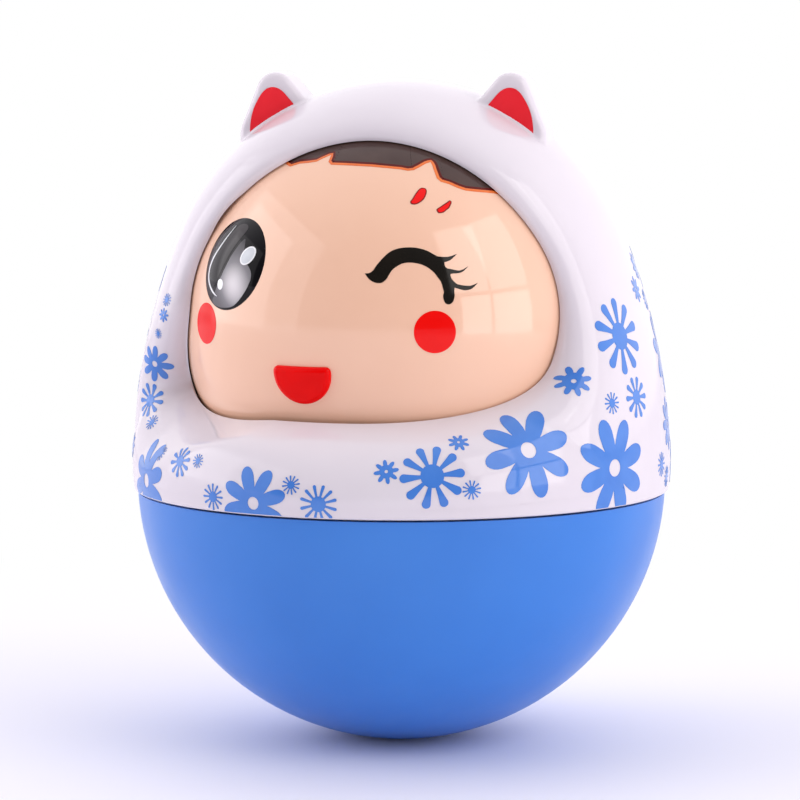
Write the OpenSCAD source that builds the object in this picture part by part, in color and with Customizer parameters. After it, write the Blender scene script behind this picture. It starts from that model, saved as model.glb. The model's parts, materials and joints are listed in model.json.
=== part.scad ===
// Roly-poly doll with a nodding head.
// A weighted round base carries a white hood with ears. Behind the hood's face opening a ball
// head hangs on a cross axle and nods, and a small chime rings inside when the toy rocks.
// Millimetres, Z up, the doll faces -Y and rests on z = 0.

/* [Hood] */
// Widest radius of the hood
body_r = 52.5; // [51:0.5:58]
// Height of the hood's widest ring above the seam
belly_rise = 6; // [3:0.5:9]
// Radius of the hood's long side curve
side_r = 130; // [100:5:200]
// Wall of the hood
hood_wall = 2.2; // [1.6:0.1:2.8]
// Height of the snap ring below the seam
spigot_h = 4; // [3:0.5:6]
// Wall of the snap ring
spigot_wall = 1.6; // [1.2:0.1:2.2]

/* [Face opening] */
// How far the opening's sides lie inside the dome's outline
open_side_inset = 6.9; // [5:0.1:9]
// How far the opening's widest line lies below the head's centre
open_drop = 3.3; // [2:0.1:5]
// How far the opening's top lies below the hood's top
open_top_drop = 10; // [8:0.1:14]
// Height of the opening's lower edge above the seam
sill_rise = 13.4; // [11:0.2:15]
// Width of the rolled rim
roll_w = 11; // [8:0.5:12]
// Thickness of the rim's inner edge
rim_edge = 0.6; // [0.4:0.1:1]

/* [Ears] */
// Distance of an ear's tip from the middle
ear_x = 23.1; // [21:0.1:25]
// Height of the tip's centre above the hood's surface
ear_lift = 4; // [3:0.1:5]
// Radius of an ear's tip
ear_tip_r = 3.8; // [3.4:0.1:4.4]
// Radius of an ear's outer side
ear_outer_r = 5.6; // [5:0.1:6.2]
// Radius of an ear's inner side
ear_inner_r = 5.2; // [4.6:0.1:5.8]
// Distance of an ear's front from the body's axis
ear_front = 9.1; // [7:0.1:11]
// Thickness of an ear
ear_t = 10.5; // [9:0.5:12]
// Width of the rim round the red lining
ear_rim = 2.3; // [1.8:0.1:2.8]
// Thickness of the red lining
lining_t = 1; // [0.8:0.1:1.6]

/* [Base] */
// How far the base stands back from the hood
rim_step = 1; // [0.6:0.1:2]
// Wall of the base
base_wall = 2.4; // [1.8:0.1:3]
// How far the seam lies below the middle of the base's ball
seam_drop = 2.35; // [1:0.05:5]
// Gap between the hood and the base at the seam
seam_gap = 0.2; // [0.1:0.05:0.4]
// Radius of the flat that the toy rests on
foot_r = 5.5; // [4.5:0.5:8]

/* [Head] */
// Radius of the ball head
head_r = 42.5; // [40:0.5:44]
// Gap between the head and the hood
head_room = 1.6; // [1.4:0.1:2.4]
// Wall of the head's two halves
head_wall = 2.2; // [1.8:0.1:2.8]
// Wall at the head's flat side poles
pole_wall = 2.4; // [2:0.1:3.2]
// Least depth of the flats at the head's side poles
pole_cut = 0.4; // [0.3:0.1:1]
// Largest nod forwards and backwards, in degrees
nod_angle = 10; // [4:1:12]

/* [Eye and mouth] */
// How far the face is turned from the hood's front, in degrees
face_turn = -12.5; // [-14:0.5:14]
// Radius of the raised eye
eye_r = 9; // [7:0.1:10]
// How far the eye stands out of the face
eye_proud = 1.6; // [1:0.1:2.4]
// Turn of the eye from the face's middle, in degrees
eye_turn = -25.5; // [-30:0.5:-20]
// Height of the eye, in degrees above the front
eye_lift = 17; // [13:0.5:20]
// Radius of the mouth's round lower edge
mouth_r = 5.6; // [4:0.1:7]
// Height of the mouth's straight top edge above the centre of its round edge
mouth_flat = 1.2; // [0.4:0.1:2.5]
// How far the mouth stands out of the face
mouth_proud = 1.2; // [0.6:0.1:1.2]
// How far the mouth lies below the front, in degrees
mouth_fall = 9.8; // [8.6:0.1:11]

/* [Axle] */
// Radius of the axle
axle_r = 2; // [1.5:0.1:2.5]
// Outer radius of the bushes
bush_r = 4; // [3.5:0.1:5]
// Length of a bush's seat inside the head
seat_len = 5; // [4:0.5:8]
// Running clearance of the bushes and the striker
run_gap = 0.05; // [0.02:0.01:0.1]
// Thickness of an axle clip
clip_t = 0.8; // [0.6:0.1:1]
// Radius of an axle clip
clip_r = 3.4; // [3:0.1:3.6]

/* [Frame] */
// Thickness of the deck under the head
deck_t = 2.6; // [2:0.1:4]
// Gap between the deck and the head
deck_gap = 4.9; // [4.5:0.1:6.5]
// Thickness of the arms
arm_t = 2.2; // [1.8:0.1:2.6]
// Width of the arms
arm_w = 10; // [8:0.5:11]
// Radius of the arms' round ends
arm_end_r = 5.6; // [5:0.1:6]

/* [Weights] */
// Radius of the head's weight
weight_r = 7; // [5:0.25:7.5]
// Length of the head's weight
weight_len = 20; // [14:0.5:22]
// Gap between the head's weight and the head's wall
weight_gap = 0.4; // [0.2:0.1:2]
// Shift of the head's weight towards the back, which balances the eye and the mouth
weight_shift = 0.5; // [0:0.1:4]
// Thickness of the ballast in its middle
ballast_t = 11.65; // [9:0.05:13]
// Gap between the ballast and the base's wall
ballast_gap = 0.3; // [0.2:0.05:0.6]

/* [Chime] */
// Radius of a chime rod
rod_r = 1.3; // [1:0.1:1.5]
// Length of a chime rod
rod_len = 44; // [36:1:48]
// Distance of a chime rod from the middle
rod_x = 8.2; // [7.5:0.1:9]
// Free way of the hammer to each rod
strike_gap = 1.6; // [1.4:0.1:2]
// Length of the striker from its pin to the hammer
striker_len = 7.5; // [7:0.1:8.5]
// Radius of the hammer
hammer_r = 2.6; // [2:0.1:2.8]

/* [Screws] */
// Radius of the screws' shanks
screw_r = 1.2; // [1:0.1:1.4]
// Radius of the screws' heads
screw_head_r = 2.6; // [2.2:0.1:2.8]
// Height of the screws' heads
screw_head_h = 1.8; // [1.4:0.1:2.2]

/* [Hidden] */
$fn = 64;

// Overrun of all cuts, and clearances that several fits share
over = 1;
fit_gap = 0.1;
screw_gap = 0.05;
span = 3*body_r;

// Base: a ball cut off at the seam and, at the bottom, at the resting flat
base_r = body_r - rim_step;
base_in_r = base_r - base_wall;
base_cz = sqrt(base_r*base_r - foot_r*foot_r);
seam_z = base_cz - seam_drop;
rim_z = seam_z - seam_gap;

// The ballast, the chime, the deck and the head stack up from the base's floor
ballast_top = base_cz - base_in_r + ballast_gap + ballast_t;
ballast_room = 1.2;
leg_end_z = ballast_top + ballast_room;
leg_foot = 1.3;
rod_z = leg_end_z + leg_foot + rod_r;
pin_z = rod_z + striker_len;
pin_fall = 4.3;
chime_plate_t = 2.2;
deck_z = pin_z + pin_fall + chime_plate_t;
head_z = deck_z + deck_t + deck_gap + head_r;
head_c = [0, 0, head_z];
head_rise = head_z - seam_z;

// Hood profile: belly, side and dome arcs that run into each other without a kink.
// The dome is concentric with the head. Heights are above the seam.
dome_r = head_r + head_room + hood_wall;
side_cz = (belly_rise + head_rise)/2
    + (pow(side_r - body_r, 2) - pow(side_r - dome_r, 2))/(2*(head_rise - belly_rise));
side_cx = -sqrt(pow(side_r - body_r, 2) - pow(side_cz - belly_rise, 2));
seam_a = -asin(belly_rise/body_r);
belly_a = atan2(belly_rise - side_cz, -side_cx);
side_a = atan2(head_rise - side_cz, -side_cx);
top_a = 90;
function rad(a) = a*PI/180;
function deg(a) = a*180/PI;
belly_len = body_r*rad(belly_a - seam_a);
side_len = side_r*rad(side_a - belly_a);
dome_len = dome_r*rad(top_a - side_a);
profile_len = belly_len + side_len + dome_len;
belly_top = belly_rise + body_r*sin(belly_a);
side_top = side_cz + side_r*sin(side_a);

function arc_point(cx, cz, r, a) = [cx + r*cos(a), cz + r*sin(a)];

// Radius and height of the profile at a length s along it from the seam
function profile(s, inset) =
    s < belly_len
        ? arc_point(0, belly_rise, body_r - inset, seam_a + deg(s/body_r))
    : s < belly_len + side_len
        ? arc_point(side_cx, side_cz, side_r - inset, belly_a + deg((s - belly_len)/side_r))
    : arc_point(0, head_rise, dome_r - inset, side_a + deg((s - belly_len - side_len)/dome_r));

// Length along the profile at which it reaches a height
function profile_s(z) =
    z < belly_top ? body_r*rad(asin((z - belly_rise)/body_r) - seam_a)
    : z < side_top ? belly_len + side_r*rad(asin((z - side_cz)/side_r) - belly_a)
    : belly_len + side_len + dome_r*rad(asin((z - head_rise)/dome_r) - side_a);

function profile_r(z, inset) = profile(profile_s(z), inset)[0];

// Hood surface over a flat unit disc: the disc's edge is the seam and its middle is the top
apex_share = 0.000001;
function hood_point(p, inset) =
    let (rho = max(norm(p), apex_share), q = profile((1 - rho)*profile_len, inset))
    [q[0]*p[0]/rho, q[0]*p[1]/rho, seam_z + q[1]];

// Face opening: an arch above its widest line and a flatter curve below it
open_z = head_rise - open_drop;
open_half_w = dome_r - open_side_inset;
open_up = head_rise + dome_r - open_top_drop - open_z;
open_down = open_z - sill_rise;
arch_power = 1.97;
sill_power = 3.8;
function open_reach(a, height, power) =
    pow(pow(abs(cos(a))/open_half_w, power) + pow(abs(sin(a))/height, power), -1/power);
function open_point(a) =
    let (reach = sin(a) < 0 ? open_reach(a, open_down, sill_power) : open_reach(a, open_up, arch_power))
    [reach*cos(a), open_z + reach*sin(a)];
function open_disc(a) =
    let (w = open_point(a), s = profile_s(w[1]), r = profile(s, 0)[0])
    (1 - s/profile_len)/r*[w[0], -sqrt(r*r - w[0]*w[0])];

// Spokes run over the hood from the opening to the seam
hood_spokes = 72;
roll_steps = 7;
side_steps = 14;
inner_roll_steps = 3;
inner_side_steps = 12;
probe_share = 0.05;
probe_a = 1;
roll_limit_share = 0.9;
function spoke(a, t, reach_share) = let (o = open_disc(a)) o + t*(reach_share*[cos(a), sin(a)] - o);

// Share of a spoke that crosses the rolled rim, whose width is square to the opening's edge
function roll_share(a) =
    let (step = hood_point(spoke(a, probe_share, 1), 0) - hood_point(open_disc(a), 0),
         edge = hood_point(open_disc(a + probe_a), 0) - hood_point(open_disc(a - probe_a), 0),
         across = norm(cross(step, edge))/norm(edge))
    min(roll_limit_share, probe_share*roll_w/across);

// A point drawn in along its line to the head's centre, to a share of its height over the head
head_clear_r = head_r + head_room;
function drawn_in(p, floor_r, height_share) =
    let (d = p - head_c) head_c + d/norm(d)*(floor_r + (norm(d) - floor_r)*height_share);

// Snap ring below the seam, with a bead that clicks into a groove in the base
spigot_gap = 0.2;
spigot_r = sqrt(pow(base_in_r, 2) - pow(seam_drop + spigot_h, 2)) - spigot_gap;
spigot_in_r = spigot_r - spigot_wall;
bead_h = 0.35;
bead_half = 0.6;
bead_z = seam_z - spigot_h/2;
groove_r = 0.8;
shelf_h = 2.5;
shelf_share = 1 - profile_s(shelf_h)/profile_len;
spigot_ring = [
    [spigot_r, seam_z],
    [spigot_r, bead_z + bead_half],
    [spigot_r + bead_h, bead_z],
    [spigot_r, bead_z - bead_half],
    [spigot_r, seam_z - spigot_h],
    [spigot_in_r, seam_z - spigot_h],
    [spigot_in_r, seam_z + shelf_h]
];

// Section of the rolled rim: steep at its edge and flattening out into the hood's surface
roll_power = 3;
function roll_height_share(u) = sqrt(1 - pow(1 - u, roll_power));

// One closed loop round the hood's wall, along one spoke
function hood_loop(a) =
    let (f = roll_share(a))
    concat(
        [for (j = [0:roll_steps])
            let (u = pow(j/roll_steps, roll_power - 1))
            drawn_in(hood_point(spoke(a, f*u, 1), 0), head_clear_r + rim_edge, roll_height_share(u))],
        [for (j = [1:side_steps]) hood_point(spoke(a, f + (1 - f)*j/side_steps, 1), 0)],
        [for (q = spigot_ring) [q[0]*cos(a), q[0]*sin(a), q[1]]],
        [for (j = [inner_side_steps:-1:0])
            hood_point(spoke(a, f + (1 - f)*j/inner_side_steps, shelf_share), hood_wall)],
        [for (j = [inner_roll_steps - 1:-1:0])
            let (u = j/inner_roll_steps)
            drawn_in(hood_point(spoke(a, f*u, shelf_share), hood_wall), head_clear_r, u*u)]
    );

// Ears: three rounds joined by straight sides, with softened edges and a pocket for the lining
ear_face_y = -ear_front;
ear_back_y = ear_t - ear_front;
ear_mid_y = (ear_face_y + ear_back_y)/2;
ear_z = head_z + sqrt(dome_r*dome_r - ear_x*ear_x - ear_mid_y*ear_mid_y) + ear_lift;
ear_outer_step = 1.5;
ear_outer_fall = 8.4;
ear_inner_step = 1.9;
ear_inner_fall = 4.4;
ear_rounds = [
    [ear_x, 0, ear_tip_r],
    [ear_x + ear_outer_step, -ear_outer_fall, ear_outer_r],
    [ear_x - ear_inner_step, -ear_inner_fall, ear_inner_r]
];
ear_edge = 0.8;
ear_back_edge = 2;
lining_gap = 0.3;

// Frame: the arms stand between the head's flat poles and the hood
arm_hood_gap = 0.6;
arm_head_gap = 0.5;
arm_out_x = profile_r(head_rise + arm_end_r, hood_wall) - arm_hood_gap;
arm_in_x = arm_out_x - arm_t;
pole_x = min(arm_in_x - arm_head_gap, head_r - pole_cut);
deck_wall_gap = 0.6;
deck_r = sqrt(pow(base_in_r, 2) - pow(base_cz - deck_z, 2)) - deck_wall_gap;
arm_foot_inset = 3.5;
arm_foot_x = deck_r - arm_foot_inset;
arm_knee_gap = 1;
arm_knee_z = head_z - sqrt(head_r*head_r - pole_x*pole_x) - arm_knee_gap;
post_r = 3.5;
post_inset = 7.5;
post_ring_r = deck_r - post_inset;
post_angles = [45, 135, 225, 315];
frame_screw_len = 8;
pass_gap = 0.35;
frame_hole_r = screw_r + pass_gap;
thread_r = screw_r + screw_gap;
pilot_spare = 1;

// Axle, clips and bushes
clip_gap = 0.1;
clip_x = arm_out_x + clip_gap;
axle_stub = 0.4;
axle_half = clip_x + clip_t + axle_stub;
thrust_gap = 0.2;
bush_out_x = arm_in_x - thrust_gap;
seat_wall = 2;
seat_x = pole_x - pole_wall - seat_len;
seat_r = bush_r + seat_wall;

// Head: screw bosses, weight cup and the peg that stops the nod in the deck's slot
parting_gap = 0.1;
head_in_r = head_r - head_wall;
head_mid_r = head_r - head_wall/2;
head_boss_inset = 9;
head_boss_a = 40;
head_boss_x = (head_in_r - head_boss_inset)*cos(head_boss_a);
head_boss_z = (head_in_r - head_boss_inset)*sin(head_boss_a);
head_boss_r = 3.2;
collar_wall = 1.6;
head_collar_r = screw_head_r + collar_wall;
screw_seat_y = 6;
head_screw_len = 14;
cup_wall = 2.2;
cup_r = weight_r + cup_wall;
weight_drop = sqrt(pow(head_in_r, 2) - pow(weight_len/2 + weight_shift, 2)) - weight_r - weight_gap;
peg_r = 2.4;
peg_y = 5.5;
peg_floor = 1;
peg_end_z = deck_z + peg_floor;
slot_gap = 0.5;
slot_reach = (head_z - deck_z)*sin(nod_angle) + peg_r + slot_gap;

// Eye and mouth
eye_seat = 0.3;
eye_base_d = sqrt(head_r*head_r - eye_r*eye_r);
eye_cap_h = head_r + eye_proud - eye_base_d;
eye_ball_r = (eye_r*eye_r + eye_cap_h*eye_cap_h)/(2*eye_cap_h);
eye_ball_d = head_r + eye_proud - eye_ball_r;
eye_peg_r = 2.2;
mouth_seat = 0.8;
mouth_peg_r = 1.6;
insert_peg_len = 4;

// Chime: a bracket under the deck with two rods and the striker's pin between two cheeks
chime_plate_w = 26;
chime_plate_l = 31;
chime_boss_x = 10;
chime_boss_h = 5;
cheek_y = 7;
cheek_t = 2;
cheek_w = 8;
pin_r = 1;
pin_stub = 0.6;
hub_r = 2.6;
hub_gap = 0.4;
arm_bar_w = 2.4;
arm_bar_l = 4;
leg_y = 13;
leg_t = 2.4;
leg_wall = 1.1;
leg_half_w = rod_r + leg_wall;
hammer_half = rod_x - rod_r - strike_gap;
chime_screw_len = 7;

// Ballast: a cap that fills the bottom of the bowl, held by screws on three bosses
ballast_ring_r = 18;
ballast_boss_r = 3.2;
ballast_hole_gap = 0.25;
ballast_boss_drop = 0.4;
ballast_angles = [90, 210, 330];
ballast_screw_len = 6;
flange_lap = 0.8;
ballast_flange_r = ballast_boss_r + ballast_hole_gap + flange_lap;

// Colours
white = "#f4f3f8";
blue = "#4a86d8";
red = "#e0222c";
flesh = "#f2cbb0";
brown = "#3a2620";
black = "#15151a";
steel = "#b9bcc2";
iron = "#5a5c60";
grey = "#c9ccd2";
brass = "#c9a14a";
nylon = "#ece9e0";

module base_ball(r) {
    translate([0, 0, base_cz]) sphere(r);
}

module at_ring(r, angles) {
    for (a = angles) rotate([0, 0, a]) translate([r, 0, 0]) children();
}

module above(z) {
    translate([-span, -span, z]) cube([2*span, 2*span, 2*span]);
}

module below(z) {
    translate([-span, -span, z - 2*span]) cube([2*span, 2*span, 2*span]);
}

module along_x(x0, x1, r) {
    translate([x0, 0, 0]) rotate([0, 90, 0]) cylinder(r = r, h = x1 - x0);
}

module along_y(y0, y1, r) {
    translate([0, y1, 0]) rotate([90, 0, 0]) cylinder(r = r, h = y1 - y0);
}

// A screw along -Z with the underside of its head at the origin
module screw(head_r, length) {
    cylinder(r = head_r, h = screw_head_h);
    translate([0, 0, -length]) cylinder(r = screw_r, h = length + over);
}

// The screw's pilot hole in the piece that it bites into
module pilot(length) {
    translate([0, 0, -length - pilot_spare]) cylinder(r = thread_r, h = length + pilot_spare + over);
}

module base_shell() {
    color(blue)
    difference() {
        union() {
            difference() {
                base_ball(base_r);
                base_ball(base_in_r);
            }
            intersection() {
                base_ball(base_r - base_wall/2);
                union() {
                    at_ring(post_ring_r, post_angles) cylinder(r = post_r, h = deck_z);
                    at_ring(ballast_ring_r, ballast_angles)
                        cylinder(r = ballast_boss_r, h = ballast_top - ballast_boss_drop);
                }
            }
        }
        above(rim_z);
        below(0);
        at_ring(post_ring_r, post_angles) translate([0, 0, deck_z + deck_t]) pilot(frame_screw_len);
        at_ring(ballast_ring_r, ballast_angles) translate([0, 0, ballast_top]) pilot(ballast_screw_len);
        rotate_extrude() translate([spigot_r, bead_z]) circle(groove_r);
    }
}

module hood_wall_solid() {
    loops = [for (i = [0:hood_spokes - 1]) hood_loop(360*i/hood_spokes)];
    n = len(loops[0]);
    points = [for (l = loops) each l];
    faces = [for (i = [0:hood_spokes - 1], j = [0:n - 1])
        let (k = (i + 1)%hood_spokes, m = (j + 1)%n)
        each [[i*n + j, k*n + m, i*n + m], [i*n + j, k*n + j, k*n + m]]];
    polyhedron(points, faces);
}

// A slice of an ear between two depths, its outline drawn in by a trim
module ear_slice(side, y0, y1, trim) {
    hull()
        for (e = ear_rounds)
            translate([side*e[0], 0, ear_z + e[1]]) along_y(y0, y1, e[2] - trim);
}

module ear(side) {
    difference() {
        hull() {
            ear_slice(side, ear_face_y, ear_back_y, ear_back_edge);
            ear_slice(side, ear_face_y, ear_back_y - ear_back_edge, ear_edge);
            ear_slice(side, ear_face_y + ear_edge, ear_back_y - ear_back_edge, 0);
        }
        ear_slice(side, ear_face_y - over, ear_face_y + lining_t + fit_gap, ear_rim - fit_gap);
        translate(head_c) sphere(dome_r - hood_wall/2);
    }
}

module hood_shell() {
    color(white)
    union() {
        hood_wall_solid();
        ear(-1);
        ear(1);
    }
}

module ear_lining(side) {
    color(red)
    difference() {
        ear_slice(side, ear_face_y, ear_face_y + lining_t, ear_rim);
        translate(head_c) sphere(dome_r + lining_gap);
    }
}

module ear_lining_left() {
    ear_lining(-1);
}

module ear_lining_right() {
    ear_lining(1);
}

module ballast_weight() {
    color(iron)
    difference() {
        base_ball(base_in_r - ballast_gap);
        above(ballast_top);
        at_ring(ballast_ring_r, ballast_angles)
            translate([0, 0, -over])
                cylinder(r = ballast_boss_r + ballast_hole_gap, h = ballast_top + 2*over);
    }
}

module ballast_screws() {
    color(steel)
    at_ring(ballast_ring_r, ballast_angles)
        translate([0, 0, ballast_top]) screw(ballast_flange_r, ballast_screw_len);
}

// An arm of the frame: it rises from the deck to a knee and then runs straight up beside the head
module frame_arm(side) {
    outline = [
        [arm_foot_x - arm_t, deck_z],
        [arm_foot_x, deck_z],
        [arm_out_x, arm_knee_z],
        [arm_out_x, head_z],
        [arm_in_x, head_z],
        [arm_in_x, arm_knee_z]
    ];
    mirror([side < 0 ? 1 : 0, 0, 0])
        union() {
            rotate([90, 0, 0]) linear_extrude(arm_w, center = true) polygon(outline);
            translate([0, 0, head_z]) along_x(arm_in_x, arm_out_x, arm_end_r);
        }
}

module head_frame() {
    color(grey)
    difference() {
        union() {
            translate([0, 0, deck_z]) cylinder(r = deck_r, h = deck_t);
            frame_arm(-1);
            frame_arm(1);
        }
        translate([0, 0, head_z]) along_x(-span, span, axle_r + run_gap);
        at_ring(post_ring_r, post_angles)
            translate([0, 0, deck_z - over]) cylinder(r = frame_hole_r, h = deck_t + 2*over);
        for (side = [-1, 1])
            translate([side*chime_boss_x, 0, deck_z - over]) cylinder(r = frame_hole_r, h = deck_t + 2*over);
        translate([-peg_r - slot_gap, peg_y - slot_reach, deck_z - over])
            cube([2*(peg_r + slot_gap), 2*slot_reach, deck_t + 2*over]);
    }
}

module frame_screws() {
    color(steel)
    at_ring(post_ring_r, post_angles)
        translate([0, 0, deck_z + deck_t]) screw(screw_head_r, frame_screw_len);
}

module head_axle() {
    color(steel) translate([0, 0, head_z]) along_x(-axle_half, axle_half, axle_r);
}

module axle_clips() {
    color(steel)
    translate([0, 0, head_z])
        for (turn = [0, 180])
            rotate([0, 0, turn])
                difference() {
                    along_x(clip_x, clip_x + clip_t, clip_r);
                    along_x(clip_x - over, clip_x + clip_t + over, axle_r + screw_gap);
                }
}

// The head's ball with its side poles cut flat
module head_ball(r, half_x) {
    intersection() {
        sphere(r);
        cube([2*half_x, 2*head_r, 2*head_r], center = true);
    }
}

// Turns a piece to its place on the face, with -Y pointing out of the head
module on_face(turn, lift) {
    rotate([0, 0, turn]) rotate([-lift, 0, 0]) children();
}

module at_head_bosses() {
    for (x = [-head_boss_x, head_boss_x], z = [-head_boss_z, head_boss_z])
        translate([x, 0, z]) children();
}

// One half of the head, hollow, with its bosses, bush seats and half of the weight's cup
module head_half(side, boss_r) {
    difference() {
        union() {
            difference() {
                head_ball(head_r, pole_x);
                head_ball(head_in_r, pole_x - pole_wall);
            }
            intersection() {
                sphere(head_mid_r);
                union() {
                    along_x(seat_x, pole_x - pole_wall/2, seat_r);
                    along_x(-pole_x + pole_wall/2, -seat_x, seat_r);
                    at_head_bosses() along_y(-head_r, head_r, boss_r);
                    translate([0, weight_shift, -weight_drop])
                        along_y(-weight_len/2 - cup_wall, weight_len/2 + cup_wall, cup_r);
                }
            }
        }
        translate([-span, side < 0 ? -parting_gap/2 : parting_gap/2 - 2*span, -span])
            cube([2*span, 2*span, 2*span]);
        along_x(-span, span, bush_r + fit_gap/2);
        translate([0, weight_shift, -weight_drop])
            along_y(-weight_len/2 - fit_gap, weight_len/2 + fit_gap, weight_r + fit_gap);
    }
}

// The mouth's outline, pushed out along -Y
module mouth_bar(gap) {
    intersection() {
        along_y(-2*head_r, 0, mouth_r + gap);
        translate([0, 0, mouth_flat + gap]) below(0);
    }
}

module face_shell() {
    color(flesh)
    translate(head_c)
    difference() {
        head_half(-1, head_boss_r);
        at_head_bosses()
            along_y(screw_seat_y - head_screw_len - pilot_spare, over, thread_r);
        on_face(face_turn + eye_turn, eye_lift) {
            along_y(-2*head_r, -eye_base_d + eye_seat, eye_r + fit_gap);
            along_y(-2*head_r, -head_r + insert_peg_len + head_wall, eye_peg_r + fit_gap);
        }
        on_face(face_turn, -mouth_fall) {
            difference() {
                mouth_bar(fit_gap);
                sphere(head_r - mouth_seat);
            }
            along_y(-2*head_r, -head_r + insert_peg_len + head_wall, mouth_peg_r + fit_gap);
        }
    }
}

module head_back() {
    color(brown)
    translate(head_c)
    union() {
        difference() {
            head_half(1, head_collar_r);
            at_head_bosses() {
                along_y(-over, head_r, screw_r + screw_gap + fit_gap);
                along_y(screw_seat_y, span, screw_head_r + fit_gap);
            }
        }
        translate([0, peg_y, peg_end_z - head_z]) cylinder(r = peg_r, h = head_z - peg_end_z - head_mid_r);
    }
}

module head_screws() {
    color(steel)
    translate(head_c)
        at_head_bosses()
            translate([0, screw_seat_y, 0]) rotate([-90, 0, 0]) screw(screw_head_r, head_screw_len);
}

module pivot_bush() {
    difference() {
        along_x(seat_x, bush_out_x, bush_r);
        along_x(seat_x - over, bush_out_x + over, axle_r + run_gap);
    }
}

module pivot_bush_left() {
    color(nylon) translate(head_c) rotate([0, 0, 180]) pivot_bush();
}

module pivot_bush_right() {
    color(nylon) translate(head_c) pivot_bush();
}

module head_weight() {
    color(iron)
    translate(head_c)
        translate([0, weight_shift, -weight_drop]) along_y(-weight_len/2, weight_len/2, weight_r);
}

module eye_dome() {
    color(black)
    translate(head_c)
        on_face(face_turn + eye_turn, eye_lift)
            union() {
                intersection() {
                    translate([0, -eye_ball_d, 0]) sphere(eye_ball_r, $fn = 160);
                    along_y(-2*head_r, -eye_base_d + eye_seat, eye_r);
                }
                along_y(-head_r, -head_r + insert_peg_len, eye_peg_r);
            }
}

module mouth_insert() {
    color(red)
    translate(head_c)
        on_face(face_turn, -mouth_fall)
            union() {
                difference() {
                    intersection() {
                        mouth_bar(0);
                        sphere(head_r + mouth_proud);
                    }
                    sphere(head_r - mouth_seat + fit_gap);
                }
                along_y(-head_r, -head_r + insert_peg_len, mouth_peg_r);
            }
}

// A leg of the chime bracket with the seat of one rod end
module chime_leg(x, y) {
    translate([x - leg_half_w, y - leg_t/2, leg_end_z])
        cube([2*leg_half_w, leg_t, deck_z - chime_plate_t - leg_end_z + over]);
}

module chime_bracket() {
    color(grey)
    difference() {
        union() {
            translate([-chime_plate_w/2, -chime_plate_l/2, deck_z - chime_plate_t])
                cube([chime_plate_w, chime_plate_l, chime_plate_t]);
            for (x = [-rod_x, rod_x], y = [-leg_y, leg_y]) chime_leg(x, y);
            for (turn = [0, 180])
                rotate([0, 0, turn])
                    translate([-cheek_w/2, cheek_y, pin_z - hub_r])
                        cube([cheek_w, cheek_t, deck_z - chime_plate_t - pin_z + hub_r + over]);
            for (x = [-chime_boss_x, chime_boss_x])
                translate([x, 0, deck_z - chime_plate_t - chime_boss_h])
                    cylinder(r = head_boss_r, h = chime_boss_h + over);
        }
        translate([0, 0, pin_z]) along_y(-span, span, pin_r + screw_gap);
        for (x = [-rod_x, rod_x]) translate([x, 0, rod_z]) along_y(-span, span, rod_r + screw_gap);
        for (x = [-chime_boss_x, chime_boss_x])
            translate([x, 0, deck_z + deck_t]) pilot(chime_screw_len);
    }
}

module chime_screws() {
    color(steel)
    for (x = [-chime_boss_x, chime_boss_x])
        translate([x, 0, deck_z + deck_t]) screw(screw_head_r, chime_screw_len);
}

module chime_rods() {
    color(steel)
    for (x = [-rod_x, rod_x]) translate([x, 0, rod_z]) along_y(-rod_len/2, rod_len/2, rod_r);
}

module striker_pin() {
    color(steel)
    translate([0, 0, pin_z])
        along_y(-cheek_y - cheek_t - pin_stub, cheek_y + cheek_t + pin_stub, pin_r);
}

module striker_arm() {
    color(nylon)
    difference() {
        union() {
            translate([0, 0, pin_z]) along_y(-cheek_y + hub_gap, cheek_y - hub_gap, hub_r);
            translate([-arm_bar_w/2, -arm_bar_l/2, rod_z]) cube([arm_bar_w, arm_bar_l, striker_len]);
        }
        translate([0, 0, pin_z]) along_y(-span, span, pin_r + run_gap);
        translate([0, 0, rod_z]) along_x(-span, span, hammer_r + screw_gap);
    }
}

module striker_hammer() {
    color(brass) translate([0, 0, rod_z]) along_x(-hammer_half, hammer_half, hammer_r);
}

base_shell();
hood_shell();
ear_lining_left();
ear_lining_right();
ballast_weight();
ballast_screws();
head_frame();
frame_screws();
head_axle();
axle_clips();
face_shell();
head_back();
head_screws();
pivot_bush_left();
pivot_bush_right();
head_weight();
eye_dome();
mouth_insert();
chime_bracket();
chime_screws();
chime_rods();
striker_pin();
striker_arm();
striker_hammer();
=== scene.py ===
"""Looks of a nodding roly-poly doll: a weighted blue bowl, a white hood with ears and printed flowers, a ball head.

Everything is in the CAD's frame: Z up, the doll faces -Y, the origin is under the middle of the base.
Sizes are in millimetres, as in the part's source, and turn into metres where a mesh is made.
"""
import json
import math

import bmesh
import bpy
import numpy as np
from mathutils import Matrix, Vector
from mathutils.bvhtree import BVHTree
from mathutils.geometry import delaunay_2d_cdt


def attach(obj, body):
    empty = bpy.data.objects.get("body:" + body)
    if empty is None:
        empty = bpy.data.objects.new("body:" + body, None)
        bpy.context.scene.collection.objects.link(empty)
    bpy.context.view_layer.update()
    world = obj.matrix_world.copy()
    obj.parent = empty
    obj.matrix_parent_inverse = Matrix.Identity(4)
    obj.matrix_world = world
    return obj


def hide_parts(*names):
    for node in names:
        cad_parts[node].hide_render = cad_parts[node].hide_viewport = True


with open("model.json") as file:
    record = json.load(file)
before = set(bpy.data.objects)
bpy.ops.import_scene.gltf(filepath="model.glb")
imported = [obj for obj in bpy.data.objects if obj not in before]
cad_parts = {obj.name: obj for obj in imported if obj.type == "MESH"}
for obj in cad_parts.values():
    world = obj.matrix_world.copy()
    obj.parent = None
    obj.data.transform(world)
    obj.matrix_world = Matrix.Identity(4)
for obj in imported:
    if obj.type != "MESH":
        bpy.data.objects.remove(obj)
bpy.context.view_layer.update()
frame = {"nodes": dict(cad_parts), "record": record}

MM = 0.001
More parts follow.
